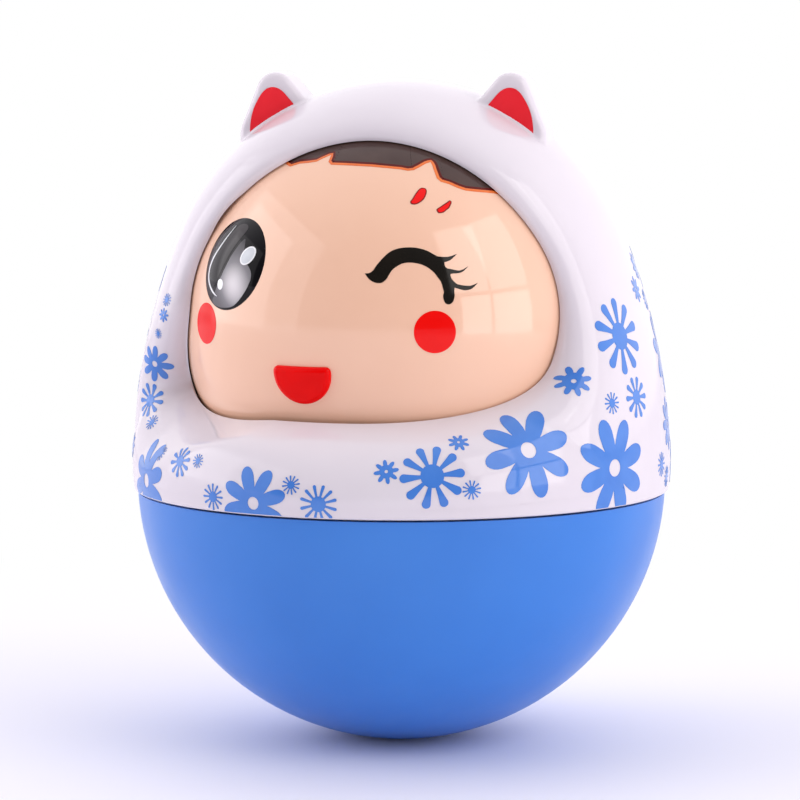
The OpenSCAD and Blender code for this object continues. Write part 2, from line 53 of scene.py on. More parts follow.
NEAR_ZERO = 1e-9

# Body sizes
BASE_R = 51.5
FOOT_R = 5.5
SEAM_DROP = 2.35
SEAM_Z = math.sqrt(BASE_R**2 - FOOT_R**2) - SEAM_DROP
BODY_R = 52.5
BELLY_RISE = 6.0
SIDE_R = 130.0
HOOD_WALL = 2.2
SPIGOT_H = 4.0
SPIGOT_R = 48.2
SPIGOT_IN_R = SPIGOT_R - 1.6
SHELF_H = 2.5
SEAM_ROUND = 0.45
SEAM_TURNS = (25, 50, 75, 90)
SEAM_GAP = 0.25
SEAM_SEAT_R = 50.4

# Head sizes
HEAD_R = 42.5
HEAD_RISE = 33.0
HEAD_C = np.array([0.0, 0.0, SEAM_Z + HEAD_RISE])
DOME_R = 46.3
RIM_GAP = 0.35
RIM_EDGE = 0.3
NOD, NOD_STEPS = 10.0, 41
POLE_X = 41.6
PAINT, PAINT_DEPTH = 0.03, 0.4
PAINT_EDGE = 89.4

# Face opening; its lower left corner reaches further round, between two angles in degrees
OPEN_Z = 28.9
OPEN_HALF_W = 40.8
OPEN_UP = 42.1
OPEN_DOWN = 16.6
ARCH_POWER = 1.95
SILL_POWERS = (5.5, 2.8)
CORNER_REACH = 0.16
CORNER_RISE, CORNER_FALL = (167, 198), (200, 222)
ROLL_W = 11.0
ROLL_POWER = 3.0
ROLL_PROBE, ROLL_LIMIT, EDGE_STEP = 0.05, 0.9, math.radians(1)

# Ears: three rounds, each with its place from the tip's centre and its radius
EAR_X = 23.1
EAR_LIFT = 4.0
EAR_FACE_Y, EAR_BACK_Y = -9.1, 1.4
EAR_MID_Y = (EAR_FACE_Y + EAR_BACK_Y)/2
EAR_TIP_Z = HEAD_C[2] + math.sqrt(DOME_R**2 - EAR_X**2 - EAR_MID_Y**2) + EAR_LIFT
EAR_ROUNDS = ((0.0, 0.0, 3.8), (1.5, -8.4, 5.6), (-1.9, -4.4, 5.2))
EAR_MIDDLE_FALL = 3.4
EAR_SPREAD = 12.5
EAR_PATCH = 1.03
EAR_CUTS = 2
EAR_SKIN = 0.6
LINING = (
    (-4.1, -2.4), (-2.95, -1.1), (-2.0, -0.05), (-0.9, 0.72), (0.3, 0.95), (1.4, 0.62), (2.4, -0.3), (3.45, -2.0),
    (4.1, -3.5), (4.5, -5.0), (4.7, -6.6), (4.75, -8.0), (4.7, -10.0), (-6.0, -10.0), (-5.6, -4.2),
)
LINING_CORNERS = (12, 13)
LINING_PROUD, LINING_DEPTH = 0.1, 0.6
LINING_GAP = 0.3

# Face pieces
FACE_TURN = -12.5
EYE_R = 9.0
EYE_PROUD = 1.6
EYE_AZ, EYE_EL = FACE_TURN - 25.5, 17.0
MOUTH_R = 5.85
MOUTH_FLAT = 1.3
MOUTH_CORNER, MOUTH_CORNER_TURN = 0.9, 0.16
MOUTH_PROUD, MOUTH_DEPTH = 1.2, 0.75
MOUTH_EL = -9.8
MOUTH_MIDDLE = np.array([0.0, -2.0])

# Raised pieces that pass under the lip: azimuth, elevation, height, then the room's half width and run-out in degrees
RAISED = ((EYE_AZ, EYE_EL, EYE_PROUD, 3.0, 10.0), (FACE_TURN, MOUTH_EL, MOUTH_PROUD, 8.0, 40.0))

# Print: how far the ink stands over the plastic, and how deep its solid reaches below
INK_TOP, INK_LOW = 0.07, -0.06
FACE_INK = PAINT + 0.05
INK_STEP = 0.03

# Fineness of the meshes, and the angles in degrees over which their edges are sharp
SPOKES, ROLL_ROWS, SIDE_ROWS, INNER_ROWS, INNER_ROLL_ROWS = 320, 22, 110, 26, 6
FACE_RINGS, FACE_COLUMNS = 110, 240
EYE_RINGS, EYE_COLUMNS = 40, 128
MOUTH_ARC, MOUTH_LINE, MOUTH_BEND = 60, 22, 8
OUTLINE_STEPS = 1441
OVAL_POINTS, CHEEK_POINTS, DOME_POINTS = 32, 48, 720
HOOD_SHARP, FACE_SHARP, EYE_SHARP, MOUTH_SHARP = 38, 30, 45, 50
FLOWER_SPACING, MARK_SPACING, FACE_SPACING = 0.5, 0.8, 1.2
ROW_SHARE = 0.866
MERGE = 1e-4

# Hood profile: belly, side and dome arcs that run into each other without a kink; heights are above the seam
SIDE_CZ = (BELLY_RISE + HEAD_RISE)/2 + ((SIDE_R - BODY_R)**2 - (SIDE_R - DOME_R)**2)/(2*(HEAD_RISE - BELLY_RISE))
SIDE_CX = -math.sqrt((SIDE_R - BODY_R)**2 - (SIDE_CZ - BELLY_RISE)**2)
SEAM_A = -math.asin(BELLY_RISE/BODY_R)
BELLY_A = math.atan2(BELLY_RISE - SIDE_CZ, -SIDE_CX)
SIDE_A = math.atan2(HEAD_RISE - SIDE_CZ, -SIDE_CX)
BELLY_LEN = BODY_R*(BELLY_A - SEAM_A)
SIDE_LEN = SIDE_R*(SIDE_A - BELLY_A)
PROFILE_LEN = BELLY_LEN + SIDE_LEN + DOME_R*(math.pi/2 - SIDE_A)
BELLY_TOP = BELLY_RISE + BODY_R*math.sin(BELLY_A)
SIDE_TOP = SIDE_CZ + SIDE_R*math.sin(SIDE_A)


# Curves and vectors
def norm(v):
    """Lengths of vectors."""
    return np.linalg.norm(v, axis=-1)


def unit(v):
    """Vectors scaled to length one."""
    return v/norm(v)[..., None]


def smooth_step(value, low, high):
    """Zero below low and one above high, with a soft change-over."""
    t = np.clip((value - low)/(high - low), 0, 1)
    return t*t*(3 - 2*t)


def smooth_max(a, b, k):
    """The larger of two fields, with a rounded change-over of width k."""
    h = np.maximum(k - np.abs(a - b), 0)/k
    return np.maximum(a, b) + h*h*k/4


def bend(u, a, b, c):
    """Curve from a to c that is drawn toward b."""
    return (1 - u)**2*a + 2*u*(1 - u)*b + u*u*c


def hermite(t, a, b, start, end):
    """Curve from a to b with the given slopes at its ends."""
    return (2*t**3 - 3*t**2 + 1)*a + (t**3 - 2*t**2 + t)*start + (3*t**2 - 2*t**3)*b + (t**3 - t**2)*end


def round_turn(count):
    """Even angles round a full turn."""
    return np.linspace(0, 2*math.pi, count, endpoint=False)


def on_circle(angles):
    """Points of the unit circle."""
    return np.stack([np.cos(angles), np.sin(angles)], -1)


def on_ball(az_deg, el_deg):
    """Unit directions from the head's centre, by azimuth from the front toward +X and elevation."""
    az, el = np.radians(az_deg), np.radians(el_deg)
    return np.stack([np.sin(az)*np.cos(el), -np.cos(az)*np.cos(el), np.sin(el)], -1)


# Hood
def profile(s, inset=0.0):
    """Radius and height of the hood at a length s along its profile from the seam."""
    s = np.asarray(s, float)
    belly = SEAM_A + s/BODY_R
    side = BELLY_A + (s - BELLY_LEN)/SIDE_R
    dome = SIDE_A + (s - BELLY_LEN - SIDE_LEN)/DOME_R
    on_belly, on_side = s < BELLY_LEN, s < BELLY_LEN + SIDE_LEN
    r = np.where(on_belly, (BODY_R - inset)*np.cos(belly),
                 np.where(on_side, SIDE_CX + (SIDE_R - inset)*np.cos(side), (DOME_R - inset)*np.cos(dome)))
    z = np.where(on_belly, BELLY_RISE + (BODY_R - inset)*np.sin(belly),
                 np.where(on_side, SIDE_CZ + (SIDE_R - inset)*np.sin(side), HEAD_RISE + (DOME_R - inset)*np.sin(dome)))
    return r, z


def profile_s(z):
    """Length along the profile at which it reaches a height."""
    z = np.asarray(z, float)
    belly = BODY_R*(np.arcsin(np.clip((z - BELLY_RISE)/BODY_R, -1, 1)) - SEAM_A)
    side = BELLY_LEN + SIDE_R*(np.arcsin(np.clip((z - SIDE_CZ)/SIDE_R, -1, 1)) - BELLY_A)
    dome = BELLY_LEN + SIDE_LEN + DOME_R*(np.arcsin(np.clip((z - HEAD_RISE)/DOME_R, -1, 1)) - SIDE_A)
    return np.where(z < BELLY_TOP, belly, np.where(z < SIDE_TOP, side, dome))


def hood_point(p, inset=0.0):
    """Point of the hood over a flat unit disc whose edge is the seam and whose middle is the top."""
    rho = np.maximum(norm(p), NEAR_ZERO)
    r, z = profile((1 - rho)*PROFILE_LEN, inset)
    return np.stack([r*p[..., 0]/rho, r*p[..., 1]/rho, SEAM_Z + z], -1)


def open_disc(a):
    """The opening's edge on the unit disc, at an angle round the opening's middle."""
    c, s = np.cos(a), np.sin(a)
    height = np.where(s < 0, OPEN_DOWN, OPEN_UP)
    power = np.where(s < 0, np.where(c < 0, *SILL_POWERS), ARCH_POWER)
    reach = (np.abs(c/OPEN_HALF_W)**power + np.abs(s/height)**power)**(-1/power)
    turn = np.degrees(a) % 360
    reach = reach*(1 + CORNER_REACH*smooth_step(turn, *CORNER_RISE)*(1 - smooth_step(turn, *CORNER_FALL)))
    x, z = reach*c, OPEN_Z + reach*s
    length = profile_s(z)
    r, _ = profile(length)
    return ((1 - length/PROFILE_LEN)/r)[..., None]*np.stack([x, -np.sqrt(r*r - x*x)], -1)


def spoke(a, t, reach):
    """Point on the unit disc, a share t of the way from the opening's edge to the rim at that reach."""
    start = open_disc(a)
    return start + np.asarray(t)[..., None]*(reach*on_circle(a) - start)


def roll_share(a):
    """Share of a spoke that crosses the rolled rim, whose width is square to the opening's edge."""
    step = hood_point(spoke(a, np.full_like(a, ROLL_PROBE), 1.0)) - hood_point(open_disc(a))
    edge = hood_point(open_disc(a + EDGE_STEP)) - hood_point(open_disc(a - EDGE_STEP))
    return np.minimum(ROLL_LIMIT, ROLL_PROBE*ROLL_W*norm(edge)/norm(np.cross(step, edge)))


def drawn_in(p, floor_r, share):
    """Points moved along their lines to the head's centre, to a share of their height over a ball of radius floor_r."""
    d = p - HEAD_C
    return HEAD_C + unit(d)*(floor_r + (norm(d) - floor_r)*share)[..., None]


def passing(p):
    """Radius round the head's centre that the nodding head needs at points: its ball, or the raised eye or mouth."""
    d = unit(p - HEAD_C)
    need = np.full(d.shape[:-1], HEAD_R)
    for nod in np.radians(np.linspace(-NOD, NOD, NOD_STEPS)):
        c, s = math.cos(nod), math.sin(nod)
        for az, el, out, edge, fade in RAISED:
            x, y, z = on_ball(az, el)
            off = np.degrees(np.arccos(np.clip(d @ np.array([x, c*y - s*z, s*y + c*z]), -1, 1)))
            need = np.maximum(need, HEAD_R + out*smooth_step(edge + fade - off, 0, fade))
    return need


def hood_rings():
    """Rings of points round the hood's wall, and how many of them are outside, from the opening's rim to the seam."""
    a = round_turn(SPOKES)
    f = roll_share(a)
    lip = passing(hood_point(open_disc(a))) + RIM_GAP
    rows = []
    for j in range(ROLL_ROWS + 1):
        u = (j/ROLL_ROWS)**2
        rows.append(drawn_in(hood_point(spoke(a, f*u, 1.0)), lip + RIM_EDGE, math.sqrt(1 - (1 - u)**ROLL_POWER)))
    reach = 1 - (SEAM_GAP + SEAM_ROUND)/PROFILE_LEN
    for j in range(1, SIDE_ROWS + 1):
        rows.append(hood_point(spoke(a, f + (1 - f)*j/SIDE_ROWS, reach)))

    # Rounded edge at the seam, then the seat and the spigot in the base
    outside = len(rows) + len(SEAM_TURNS)
    seam_r = float(profile(SEAM_GAP + SEAM_ROUND)[0])
    section = [(seam_r - SEAM_ROUND*(1 - math.cos(t)), SEAM_GAP + SEAM_ROUND*(1 - math.sin(t)))
               for t in np.radians(SEAM_TURNS)]
    section += [(SEAM_SEAT_R, SEAM_GAP), (SEAM_SEAT_R, 0), (SPIGOT_R, 0), (SPIGOT_R, -SPIGOT_H),
                (SPIGOT_IN_R, -SPIGOT_H), (SPIGOT_IN_R, SHELF_H)]
    for r, z in section:
        rows.append(np.column_stack([r*on_circle(a), np.full_like(a, SEAM_Z + z)]))

    shelf = 1 - float(profile_s(SHELF_H))/PROFILE_LEN
    for j in range(INNER_ROWS, -1, -1):
        rows.append(hood_point(spoke(a, f + (1 - f)*j/INNER_ROWS, shelf), HOOD_WALL))
    for j in range(INNER_ROLL_ROWS - 1, -1, -1):
        u = j/INNER_ROLL_ROWS
        inner = drawn_in(hood_point(spoke(a, f*u, shelf), HOOD_WALL), lip, u*u)
        short = np.maximum(passing(inner) + RIM_GAP - norm(inner - HEAD_C), 0)
        rows.append(inner + short[:, None]*unit(inner - HEAD_C))
    return np.array(rows), outside


def round_outline(rounds, count=144):
    """Outline stretched round some circles, each given as its middle and radius."""
    n = on_circle(round_turn(count))
    rounds = np.array(rounds)
    best = (n @ rounds[:, :2].T + rounds[:, 2]).argmax(1)
    return rounds[best, :2] + rounds[best, 2][:, None]*n


def outline_radius(outline, middle):
    """Radius of a bulging outline round a middle, by angle."""
    d = outline - middle
    step = np.roll(d, -1, 0) - d
    normal = np.stack([step[:, 1], -step[:, 0]], -1)
    angles = np.linspace(-math.pi, math.pi, OUTLINE_STEPS)
    ahead = on_circle(angles) @ normal.T
    reach = np.where(ahead > NEAR_ZERO, (normal*d).sum(-1)/np.maximum(ahead, NEAR_ZERO), np.inf)
    return angles, reach.min(1)


class Ear:
    """Maps the patch of the dome round an ear's foot onto the ear and the dome around it."""

    FOOT_SHARE, FILLET = 0.74, 0.055
    FRONT_ROUND, BACK_ROUND = 1.8, 2.4
    NEAREST, FURTHEST, HALVINGS = 0.5, 13.0, 40
    TILTS, TILT_STEPS, TURN_STEPS = (40, 165), 500, 721

    def __init__(self, side):
        self.hand = side
        self.centre = np.array([side*EAR_X, EAR_MID_Y, EAR_TIP_Z - EAR_MIDDLE_FALL])
        self.angles, self.reach = outline_radius(round_outline(EAR_ROUNDS), np.array([0, -EAR_MIDDLE_FALL]))
        self.axis = unit(self.centre - HEAD_C)
        front = np.array([0, -1.0, 0])
        self.front = unit(front - (front @ self.axis)*self.axis)
        self.side = np.cross(self.axis, self.front)
        # Where the ear meets the dome, for each direction round the ear
        self.turns = np.linspace(-math.pi, math.pi, self.TURN_STEPS)
        tilt = np.linspace(*np.radians(self.TILTS), self.TILT_STEPS)
        height = norm(self.lobe(*np.meshgrid(tilt, self.turns)) - HEAD_C) - DOME_R
        first = np.argmax(height < 0, axis=1)
        row = np.arange(len(self.turns))
        high, low = height[row, first - 1], height[row, first]
        self.foot_tilt = tilt[first - 1] + (tilt[first] - tilt[first - 1])*high/(high - low)
        self.foot_arc = self.arc(self.lobe(self.foot_tilt, self.turns))

    def arc(self, p):
        """Distance over the dome from the ear's axis to points."""
        return DOME_R*np.arccos(np.clip(unit(p - HEAD_C) @ self.axis, -1, 1))

    def field(self, q):
        """Below zero inside the ear; q is measured from its centre."""
        angle = np.arctan2(q[..., 2], self.hand*q[..., 0])
        side = np.hypot(q[..., 0], q[..., 2]) - np.interp(angle, self.angles, self.reach)
        depth = (EAR_BACK_Y - EAR_FACE_Y)/2
        front = smooth_max(side, -q[..., 1] - depth, self.FRONT_ROUND)
        return smooth_max(front, q[..., 1] - depth, self.BACK_ROUND)

    def ray(self, tilt, turn):
        """Unit directions at a tilt from the ear's axis and a turn round it."""
        round_it = np.cos(turn)[..., None]*self.front + np.sin(turn)[..., None]*self.side
        return np.cos(tilt)[..., None]*self.axis + np.sin(tilt)[..., None]*round_it

    def lobe(self, tilt, turn):
        """Point of the ear alone, seen from its centre."""
        ray = self.ray(tilt, turn)
        low, high = np.full(tilt.shape, self.NEAREST), np.full(tilt.shape, self.FURTHEST)
        for _ in range(self.HALVINGS):
            mid = (low + high)/2
            inside = self.field(ray*mid[..., None]) < 0
            low, high = np.where(inside, mid, low), np.where(inside, high, mid)
        return self.centre + ray*low[..., None]

    def plain(self, share, turn):
        """Point at a share of the patch: on the ear up to its foot, then on the dome."""
        tilt = np.interp(turn, self.turns, self.foot_tilt)
        arc = np.interp(turn, self.turns, self.foot_arc)
        on_ear = self.lobe(tilt*np.minimum(share/self.FOOT_SHARE, 1), turn)
        past = np.clip((share - self.FOOT_SHARE)/(1 - self.FOOT_SHARE), 0, 1)
        on_dome = HEAD_C + DOME_R*self.ray((arc + (EAR_SPREAD - arc)*past)/DOME_R, turn)
        return np.where((share < self.FOOT_SHARE)[..., None], on_ear, on_dome)

    def place(self, share, turn):
        """As plain, with a small fillet along the foot."""
        start, end = self.FOOT_SHARE - self.FILLET, self.FOOT_SHARE + self.FILLET
        u = np.clip((share - start)/(end - start), 0, 1)[..., None]
        ends = [self.plain(np.full_like(share, v), turn) for v in (start, self.FOOT_SHARE, end)]
        near = ((share > start) & (share < end))[..., None]
        return np.where(near, bend(u, *ends), self.plain(share, turn))

    def polar(self, p):
        """Share of the patch and direction of points on the dome."""
        d = p - HEAD_C
        return self.arc(p)/EAR_SPREAD, np.arctan2(d @ self.side, d @ self.front)


# Meshes
def new_object(name, points, faces):
    """A smooth mesh object from points in millimetres."""
    mesh = bpy.data.meshes.new(name)
    mesh.from_pydata([tuple(p) for p in np.asarray(points)*MM], [], [tuple(int(i) for i in f) for f in faces])
    mesh.validate()
    mesh.polygons.foreach_set("use_smooth", [True]*len(mesh.polygons))
    obj = bpy.data.objects.new(name, mesh)
    bpy.context.scene.collection.objects.link(obj)
    return obj


def finish_mesh(obj, limit_deg):
    """Outward normals, smooth shading, and sharp edges where faces meet at more than a limit."""
    bm = bmesh.new()
    bm.from_mesh(obj.data)
    bmesh.ops.recalc_face_normals(bm, faces=bm.faces)
    limit = math.radians(limit_deg)
    for face in bm.faces:
        face.smooth = True
    for edge in bm.edges:
        edge.smooth = len(edge.link_faces) != 2 or edge.calc_face_angle(0) < limit
    bm.to_mesh(obj.data)
    bm.free()


def grid_faces(rows, columns, close_rows=False):
    """Four-sided faces of rings of points, each ring closed on itself."""
    faces = []
    for i in range(rows if close_rows else rows - 1):
        n = (i + 1) % rows
        for k in range(columns):
            m = (k + 1) % columns
            faces.append((i*columns + k, n*columns + k, n*columns + m, i*columns + m))
    return faces


def capped_rings(name, rings, tips, limit_deg):
    """Closed solid of rings of points, with a fan from each of the end rings to its tip."""
    count, columns = rings.shape[:2]
    faces = grid_faces(count, columns)
    first, end = count*columns, (count - 1)*columns
    for k in range(columns):
        m = (k + 1) % columns
        faces += [(first, k, m), (first + 1, end + m, end + k)]
    obj = new_object(name, np.concatenate([rings.reshape(-1, 3), tips]), faces)
    finish_mesh(obj, limit_deg)
    return obj


def make_hood():
    """The hood with its rolled opening and both ears as one closed mesh, and its outer rings of points."""
    rings, outside = hood_rings()
    obj = new_object("hood", rings.reshape(-1, 3), grid_faces(len(rings), SPOKES, close_rows=True))
    ears = [Ear(-1), Ear(1)]
    bm = bmesh.new()
    bm.from_mesh(obj.data)
    points = np.array([v.co for v in bm.verts])/MM
    near = np.any([ear.polar(points)[0] < EAR_PATCH for ear in ears], axis=0)
    near[outside*SPOKES:] = False
    patch = [f for f in bm.faces if all(near[v.index] for v in f.verts)]
    edges = list(dict.fromkeys(e for f in patch for e in f.edges))
    bmesh.ops.subdivide_edges(bm, edges=edges, cuts=EAR_CUTS, use_grid_fill=True)
    points = np.array([v.co for v in bm.verts])/MM
    on_skin = norm(points - HEAD_C) > DOME_R - EAR_SKIN
    moved = points.copy()
    for ear in ears:
        share, turn = ear.polar(points)
        mine = (share < 1) & on_skin
        moved[mine] = ear.place(share[mine], turn[mine])
    for v, p in zip(bm.verts, moved):
        v.co = p*MM
    bm.to_mesh(obj.data)
    bm.free()
    finish_mesh(obj, HOOD_SHARP)
    return obj, rings[:outside]


class HoodSkin:
    """The hood's outer surface, for laying print on it."""

    AZ_STEP, EL_STEPS, TOP_EL = 0.75, 260, 75
    FOOT_LIFT = 0.005
    STEP_BACK = math.radians(0.2)
    LIFT = 2

    def __init__(self, rings):
        self.points = rings.reshape(-1, 3)
        self.triangles = []
        for a, b, c, d in grid_faces(*rings.shape[:2]):
            self.triangles += [(a, b, c), (a, c, d)]
        tri = np.array(self.triangles)
        corner = self.points[tri]
        cross = np.cross(corner[:, 1] - corner[:, 0], corner[:, 2] - corner[:, 0])
        normals = np.zeros_like(self.points)
        for k in range(3):
            np.add.at(normals, tri[:, k], cross)
        outward = (normals*(self.points - HEAD_C)).sum()
        self.normals = unit(normals)*np.sign(outward)
        self.tree = BVHTree.FromPolygons([Vector(p) for p in self.points], self.triangles)
        self.measure()

    def cast(self, azimuth, elevation):
        """Where a line from the head's centre leaves through the skin: the point and its triangle, or nothing."""
        c = math.cos(elevation)
        ray = Vector((math.sin(azimuth)*c, -math.cos(azimuth)*c, math.sin(elevation)))
        hit, _, index, _ = self.tree.ray_cast(Vector(HEAD_C), ray)
        return hit, index

    def measure(self):
        """For each azimuth, the length along the skin from the seam up, until it ends at the opening or the top."""
        self.azimuths = np.radians(np.arange(-180, 180.1, self.AZ_STEP))
        low = math.atan2(-HEAD_RISE, profile(0)[0]) + self.FOOT_LIFT
        self.elevations = np.linspace(low, math.radians(self.TOP_EL), self.EL_STEPS)
        self.lengths = []
        for azimuth in self.azimuths:
            line = []
            for elevation in self.elevations:
                hit, _ = self.cast(azimuth, elevation)
                if hit is None:
                    break
                line.append(np.array(hit))
            steps = norm(np.diff(line, axis=0))
            start = line[0][2] - SEAM_Z
            self.lengths.append(np.concatenate([[start], start + np.cumsum(steps)]))

    def elevation(self, azimuth, length):
        """Elevation at a length along the skin, between the two nearest measured azimuths."""
        azimuth = (azimuth + math.pi) % (2*math.pi) - math.pi
        place = (azimuth - self.azimuths[0])/(self.azimuths[1] - self.azimuths[0])
        i = min(int(place), len(self.azimuths) - 2)
        low, high = (np.interp(length, line, self.elevations[:len(line)]) for line in self.lengths[i:i + 2])
        return low + (high - low)*(place - i)

    def lay(self, azimuths, lengths):
        """Points and normals at azimuths and lengths along the skin."""
        points, normals = [], []
        for azimuth, length in zip(azimuths, lengths):
            elevation = self.elevation(azimuth, length)
            hit, index = self.cast(azimuth, elevation)
            while hit is None:
                elevation -= self.STEP_BACK
                hit, index = self.cast(azimuth, elevation)
            tri = list(self.triangles[index])
            points.append(np.array(hit))
            normals.append(np.linalg.solve(self.points[tri].T, points[-1]) @ self.normals[tri])
        return np.array(points), unit(np.array(normals))

    def stick(self, azimuth, elevation, flat):
        """Points and normals of a small print put on the skin where a line from the head's centre leaves it."""
        hit, index = self.cast(azimuth, elevation)
        normal = unit(self.normals[list(self.triangles[index])].mean(0))
        right = np.array([math.cos(azimuth), math.sin(azimuth), 0.0])
        right = unit(right - (right @ normal)*normal)
        up = np.cross(normal, right)
        points, normals = [], []
        for u, v in flat:
            start = np.array(hit) + u*right + v*up + self.LIFT*normal
            place, _, index, _ = self.tree.ray_cast(Vector(start), Vector(-normal))
            points.append(np.array(place))
            normals.append(self.normals[list(self.triangles[index])].mean(0))
        return np.array(points), unit(np.array(normals))


# Print
def signed_area(loop):
    """Area of a flat loop, above zero where it runs anticlockwise."""
    p = np.asarray(loop, float)
    return np.sum(p[:, 0]*np.roll(p[:, 1], -1) - np.roll(p[:, 0], -1)*p[:, 1])/2


def fill(loops, cuts=(), spacing=FACE_SPACING):
    """Triangles inside any of the loops and outside all the cuts, with points inside to follow a curved surface."""
    points, faces = [], []
    for loop in list(loops) + list(cuts):
        if signed_area(loop) < 0:
            loop = loop[::-1]
        faces.append(list(range(len(points), len(points) + len(loop))))
        points += [Vector((float(x), float(y))) for x, y in loop]
    drawn = np.concatenate([np.asarray(loop) for loop in loops])
    low, high = drawn.min(0), drawn.max(0)
    for j, y in enumerate(np.arange(low[1], high[1], spacing*ROW_SHARE)):
        for x in np.arange(low[0] + (j % 2)*spacing/2, high[0], spacing):
            points.append(Vector((float(x), float(y))))
    verts, _, tris, _, _, owners = delaunay_2d_cdt(points, [], faces, 0, MERGE, True)
    kept = [tuple(t) for t, o in zip(tris, owners) if o and all(i < len(loops) for i in o)]
    used = sorted({i for t in kept for i in t})
    index = {old: new for new, old in enumerate(used)}
    return np.array([verts[i][:] for i in used]), [tuple(index[i] for i in t) for t in kept]


def ink_solid(flat_faces, points, normals, top=INK_TOP, low=INK_LOW):
    """Closed thin solid over a triangulated print: its points, faces and the carrier's normals for each point."""
    count = len(points)
    solid = np.concatenate([points + normals*top, points + normals*low])
    faces = [tuple(t) for t in flat_faces] + [tuple(i + count for i in reversed(t)) for t in flat_faces]
    edges = dict.fromkeys((t[i - 1], t[i]) for t in flat_faces for i in range(len(t)))
    faces += [(j, i, i + count, j + count) for i, j in edges if (j, i) not in edges]
    return solid, faces, np.concatenate([normals, normals])


def print_object(name, solids):
    """One object from several ink solids, shaded with the carrier's normals so that it shines as one with it."""
    points, faces, normals = [], [], []
    for p, f, n in solids:
        faces += [tuple(i + len(points) for i in face) for face in f]
        points += list(p)
        normals += list(n)
    obj = new_object(name, points, faces)
    obj.data.normals_split_custom_set_from_vertices([tuple(n) for n in normals])
    return obj


def rotated(points, angle):
    """Flat points turned round the origin."""
    c, s = math.cos(angle), math.sin(angle)
    return np.asarray(points, float) @ np.array([[c, s], [-s, c]])


def circle(r, count):
    """Points round a circle."""
    return r*on_circle(round_turn(count))


def tilted_oval(x, y, long_r, short_r, tilt_deg):
    """Points round an oval that leans to one side."""
    return rotated(circle(1, OVAL_POINTS)*np.array([long_r, short_r]), math.radians(tilt_deg)) + np.array([x, y])


def rounded_loop(points, corners=(), steps=5):
    """Smooth closed curve through points, kept sharp at the given ones."""
    p = np.asarray(points, float)
    count = len(p)
    out = []
    for i in range(count):
        a, b = p[i], p[(i + 1) % count]
        start = b - a if i in corners else (b - p[i - 1])/2
        end = b - a if (i + 1) % count in corners else (p[(i + 2) % count] - a)/2
        out += [hermite(t, a, b, start, end) for t in np.arange(steps)/steps]
    return np.array(out)


def side_of(line):
    """Unit vectors to the left of an open line, at each of its points."""
    along = unit(np.gradient(line, axis=0))
    return np.stack([-along[:, 1], along[:, 0]], -1)


def stroke(points, widths, steps=8):
    """Outline of a brush line through points, with a half width at each."""
    p = np.asarray(points, float)
    last = len(p) - 1
    t = np.linspace(0, last, last*steps + 1)
    i = np.minimum(t.astype(int), last - 1)
    before, after = p[np.maximum(i - 1, 0)], p[np.minimum(i + 2, last)]
    a, b = p[i], p[i + 1]
    line = hermite((t - i)[:, None], a, b, (b - before)/2, (after - a)/2)
    side = side_of(line)*np.interp(t, np.arange(len(p)), widths)[:, None]
    return np.concatenate([line + side, (line - side)[::-1]])


def shrunk(loop, by):
    """A loop moved inward along its normals."""
    p = np.asarray(loop, float)
    along = unit(np.roll(p, -1, 0) - np.roll(p, 1, 0))
    inward = np.stack([-along[:, 1], along[:, 0]], -1)*(1 if signed_area(p) > 0 else -1)
    return p + inward*by


# Flowers
# Kinds of flower: petals, disc radius, hole radius, petal half width and neck, as shares of the flower's radius
FLOWERS = {
    "daisy": (8, 0.38, 0.17, 0.19, None),
    "button": (8, 0.55, 0.14, 0.165, None),
    "splash": (10, 0.36, 0.0, 0.135, 0.045),
    "star": (12, 0.40, 0.0, 0.085, 0.05),
}
OVAL_ROOT_SHARE, OVAL_WIDEST_SHARE, DROP_ROOT_SHARE = 0.1, 0.66, 0.2
DROP_POWER = 1.4

# Points on a petal, a disc and a hole, for flowers over a radius and for small ones
BIG_FLOWER = 5
BIG_COUNTS, SMALL_COUNTS = (20, 40, 28), (12, 24, 12)

# Flowers on the front and sides: kind, azimuth, height above the seam, radius, spin
FRONT_FLOWERS = [
    ("daisy", 40.6, 12.6, 9.2, 14), ("daisy", 62.7, 7.8, 9.6, 18), ("daisy", -17.8, 2.5, 7.0, 17),
    ("daisy", 99.5, 27.0, 8.2, 30), ("daisy", -90.5, 16.0, 9.0, 5), ("splash", -82.0, 30.5, 6.0, 0),
    ("splash", 19.7, 8.4, 6.1, 5), ("splash", 70.2, 31.8, 7.3, 14), ("splash", 73.1, 20.2, 4.0, 0),
    ("splash", -39.2, 8.8, 3.1, 10), ("star", -3.3, 3.0, 3.6, 15), ("button", 10.4, 9.3, 2.4, 10),
    ("button", 25.9, 15.2, 2.1, 20), ("button", 55.2, 24.8, 3.1, 0), ("star", 27.6, 5.7, 1.8, 10),
    ("star", 63.3, 19.8, 2.1, 0), ("star", -28.2, 3.0, 2.5, 0), ("star", -9.3, 6.3, 1.8, 10),
    ("star", -33.3, 9.3, 1.4, 0), ("button", 86.6, 39.7, 2.6, 0),
    ("daisy", 93.5, 13.5, 5.2, 0), ("star", 84.5, 6.5, 2.4, 0),
    ("button", -70.2, 9.0, 2.4, 0), ("star", -77.0, 21.0, 2.4, 0), ("button", -74.5, 41.0, 2.6, 0),
]

# Flowers beside the opening: kind, azimuth and elevation from the head's centre, radius, spin
EDGE_FLOWERS = [
    ("daisy", -54.2, -29.2, 7.9, 17), ("daisy", -65.9, -9.4, 3.7, 20), ("splash", -68.0, -17.3, 3.4, 10),
    ("star", -63.6, -21.2, 1.6, 8), ("star", -49.0, -24.9, 1.6, 0), ("star", -63.4, -2.4, 1.0, 0),
    ("button", -61.5, 2.0, 1.4, 0), ("star", -61.1, 5.6, 1.3, 0),
]

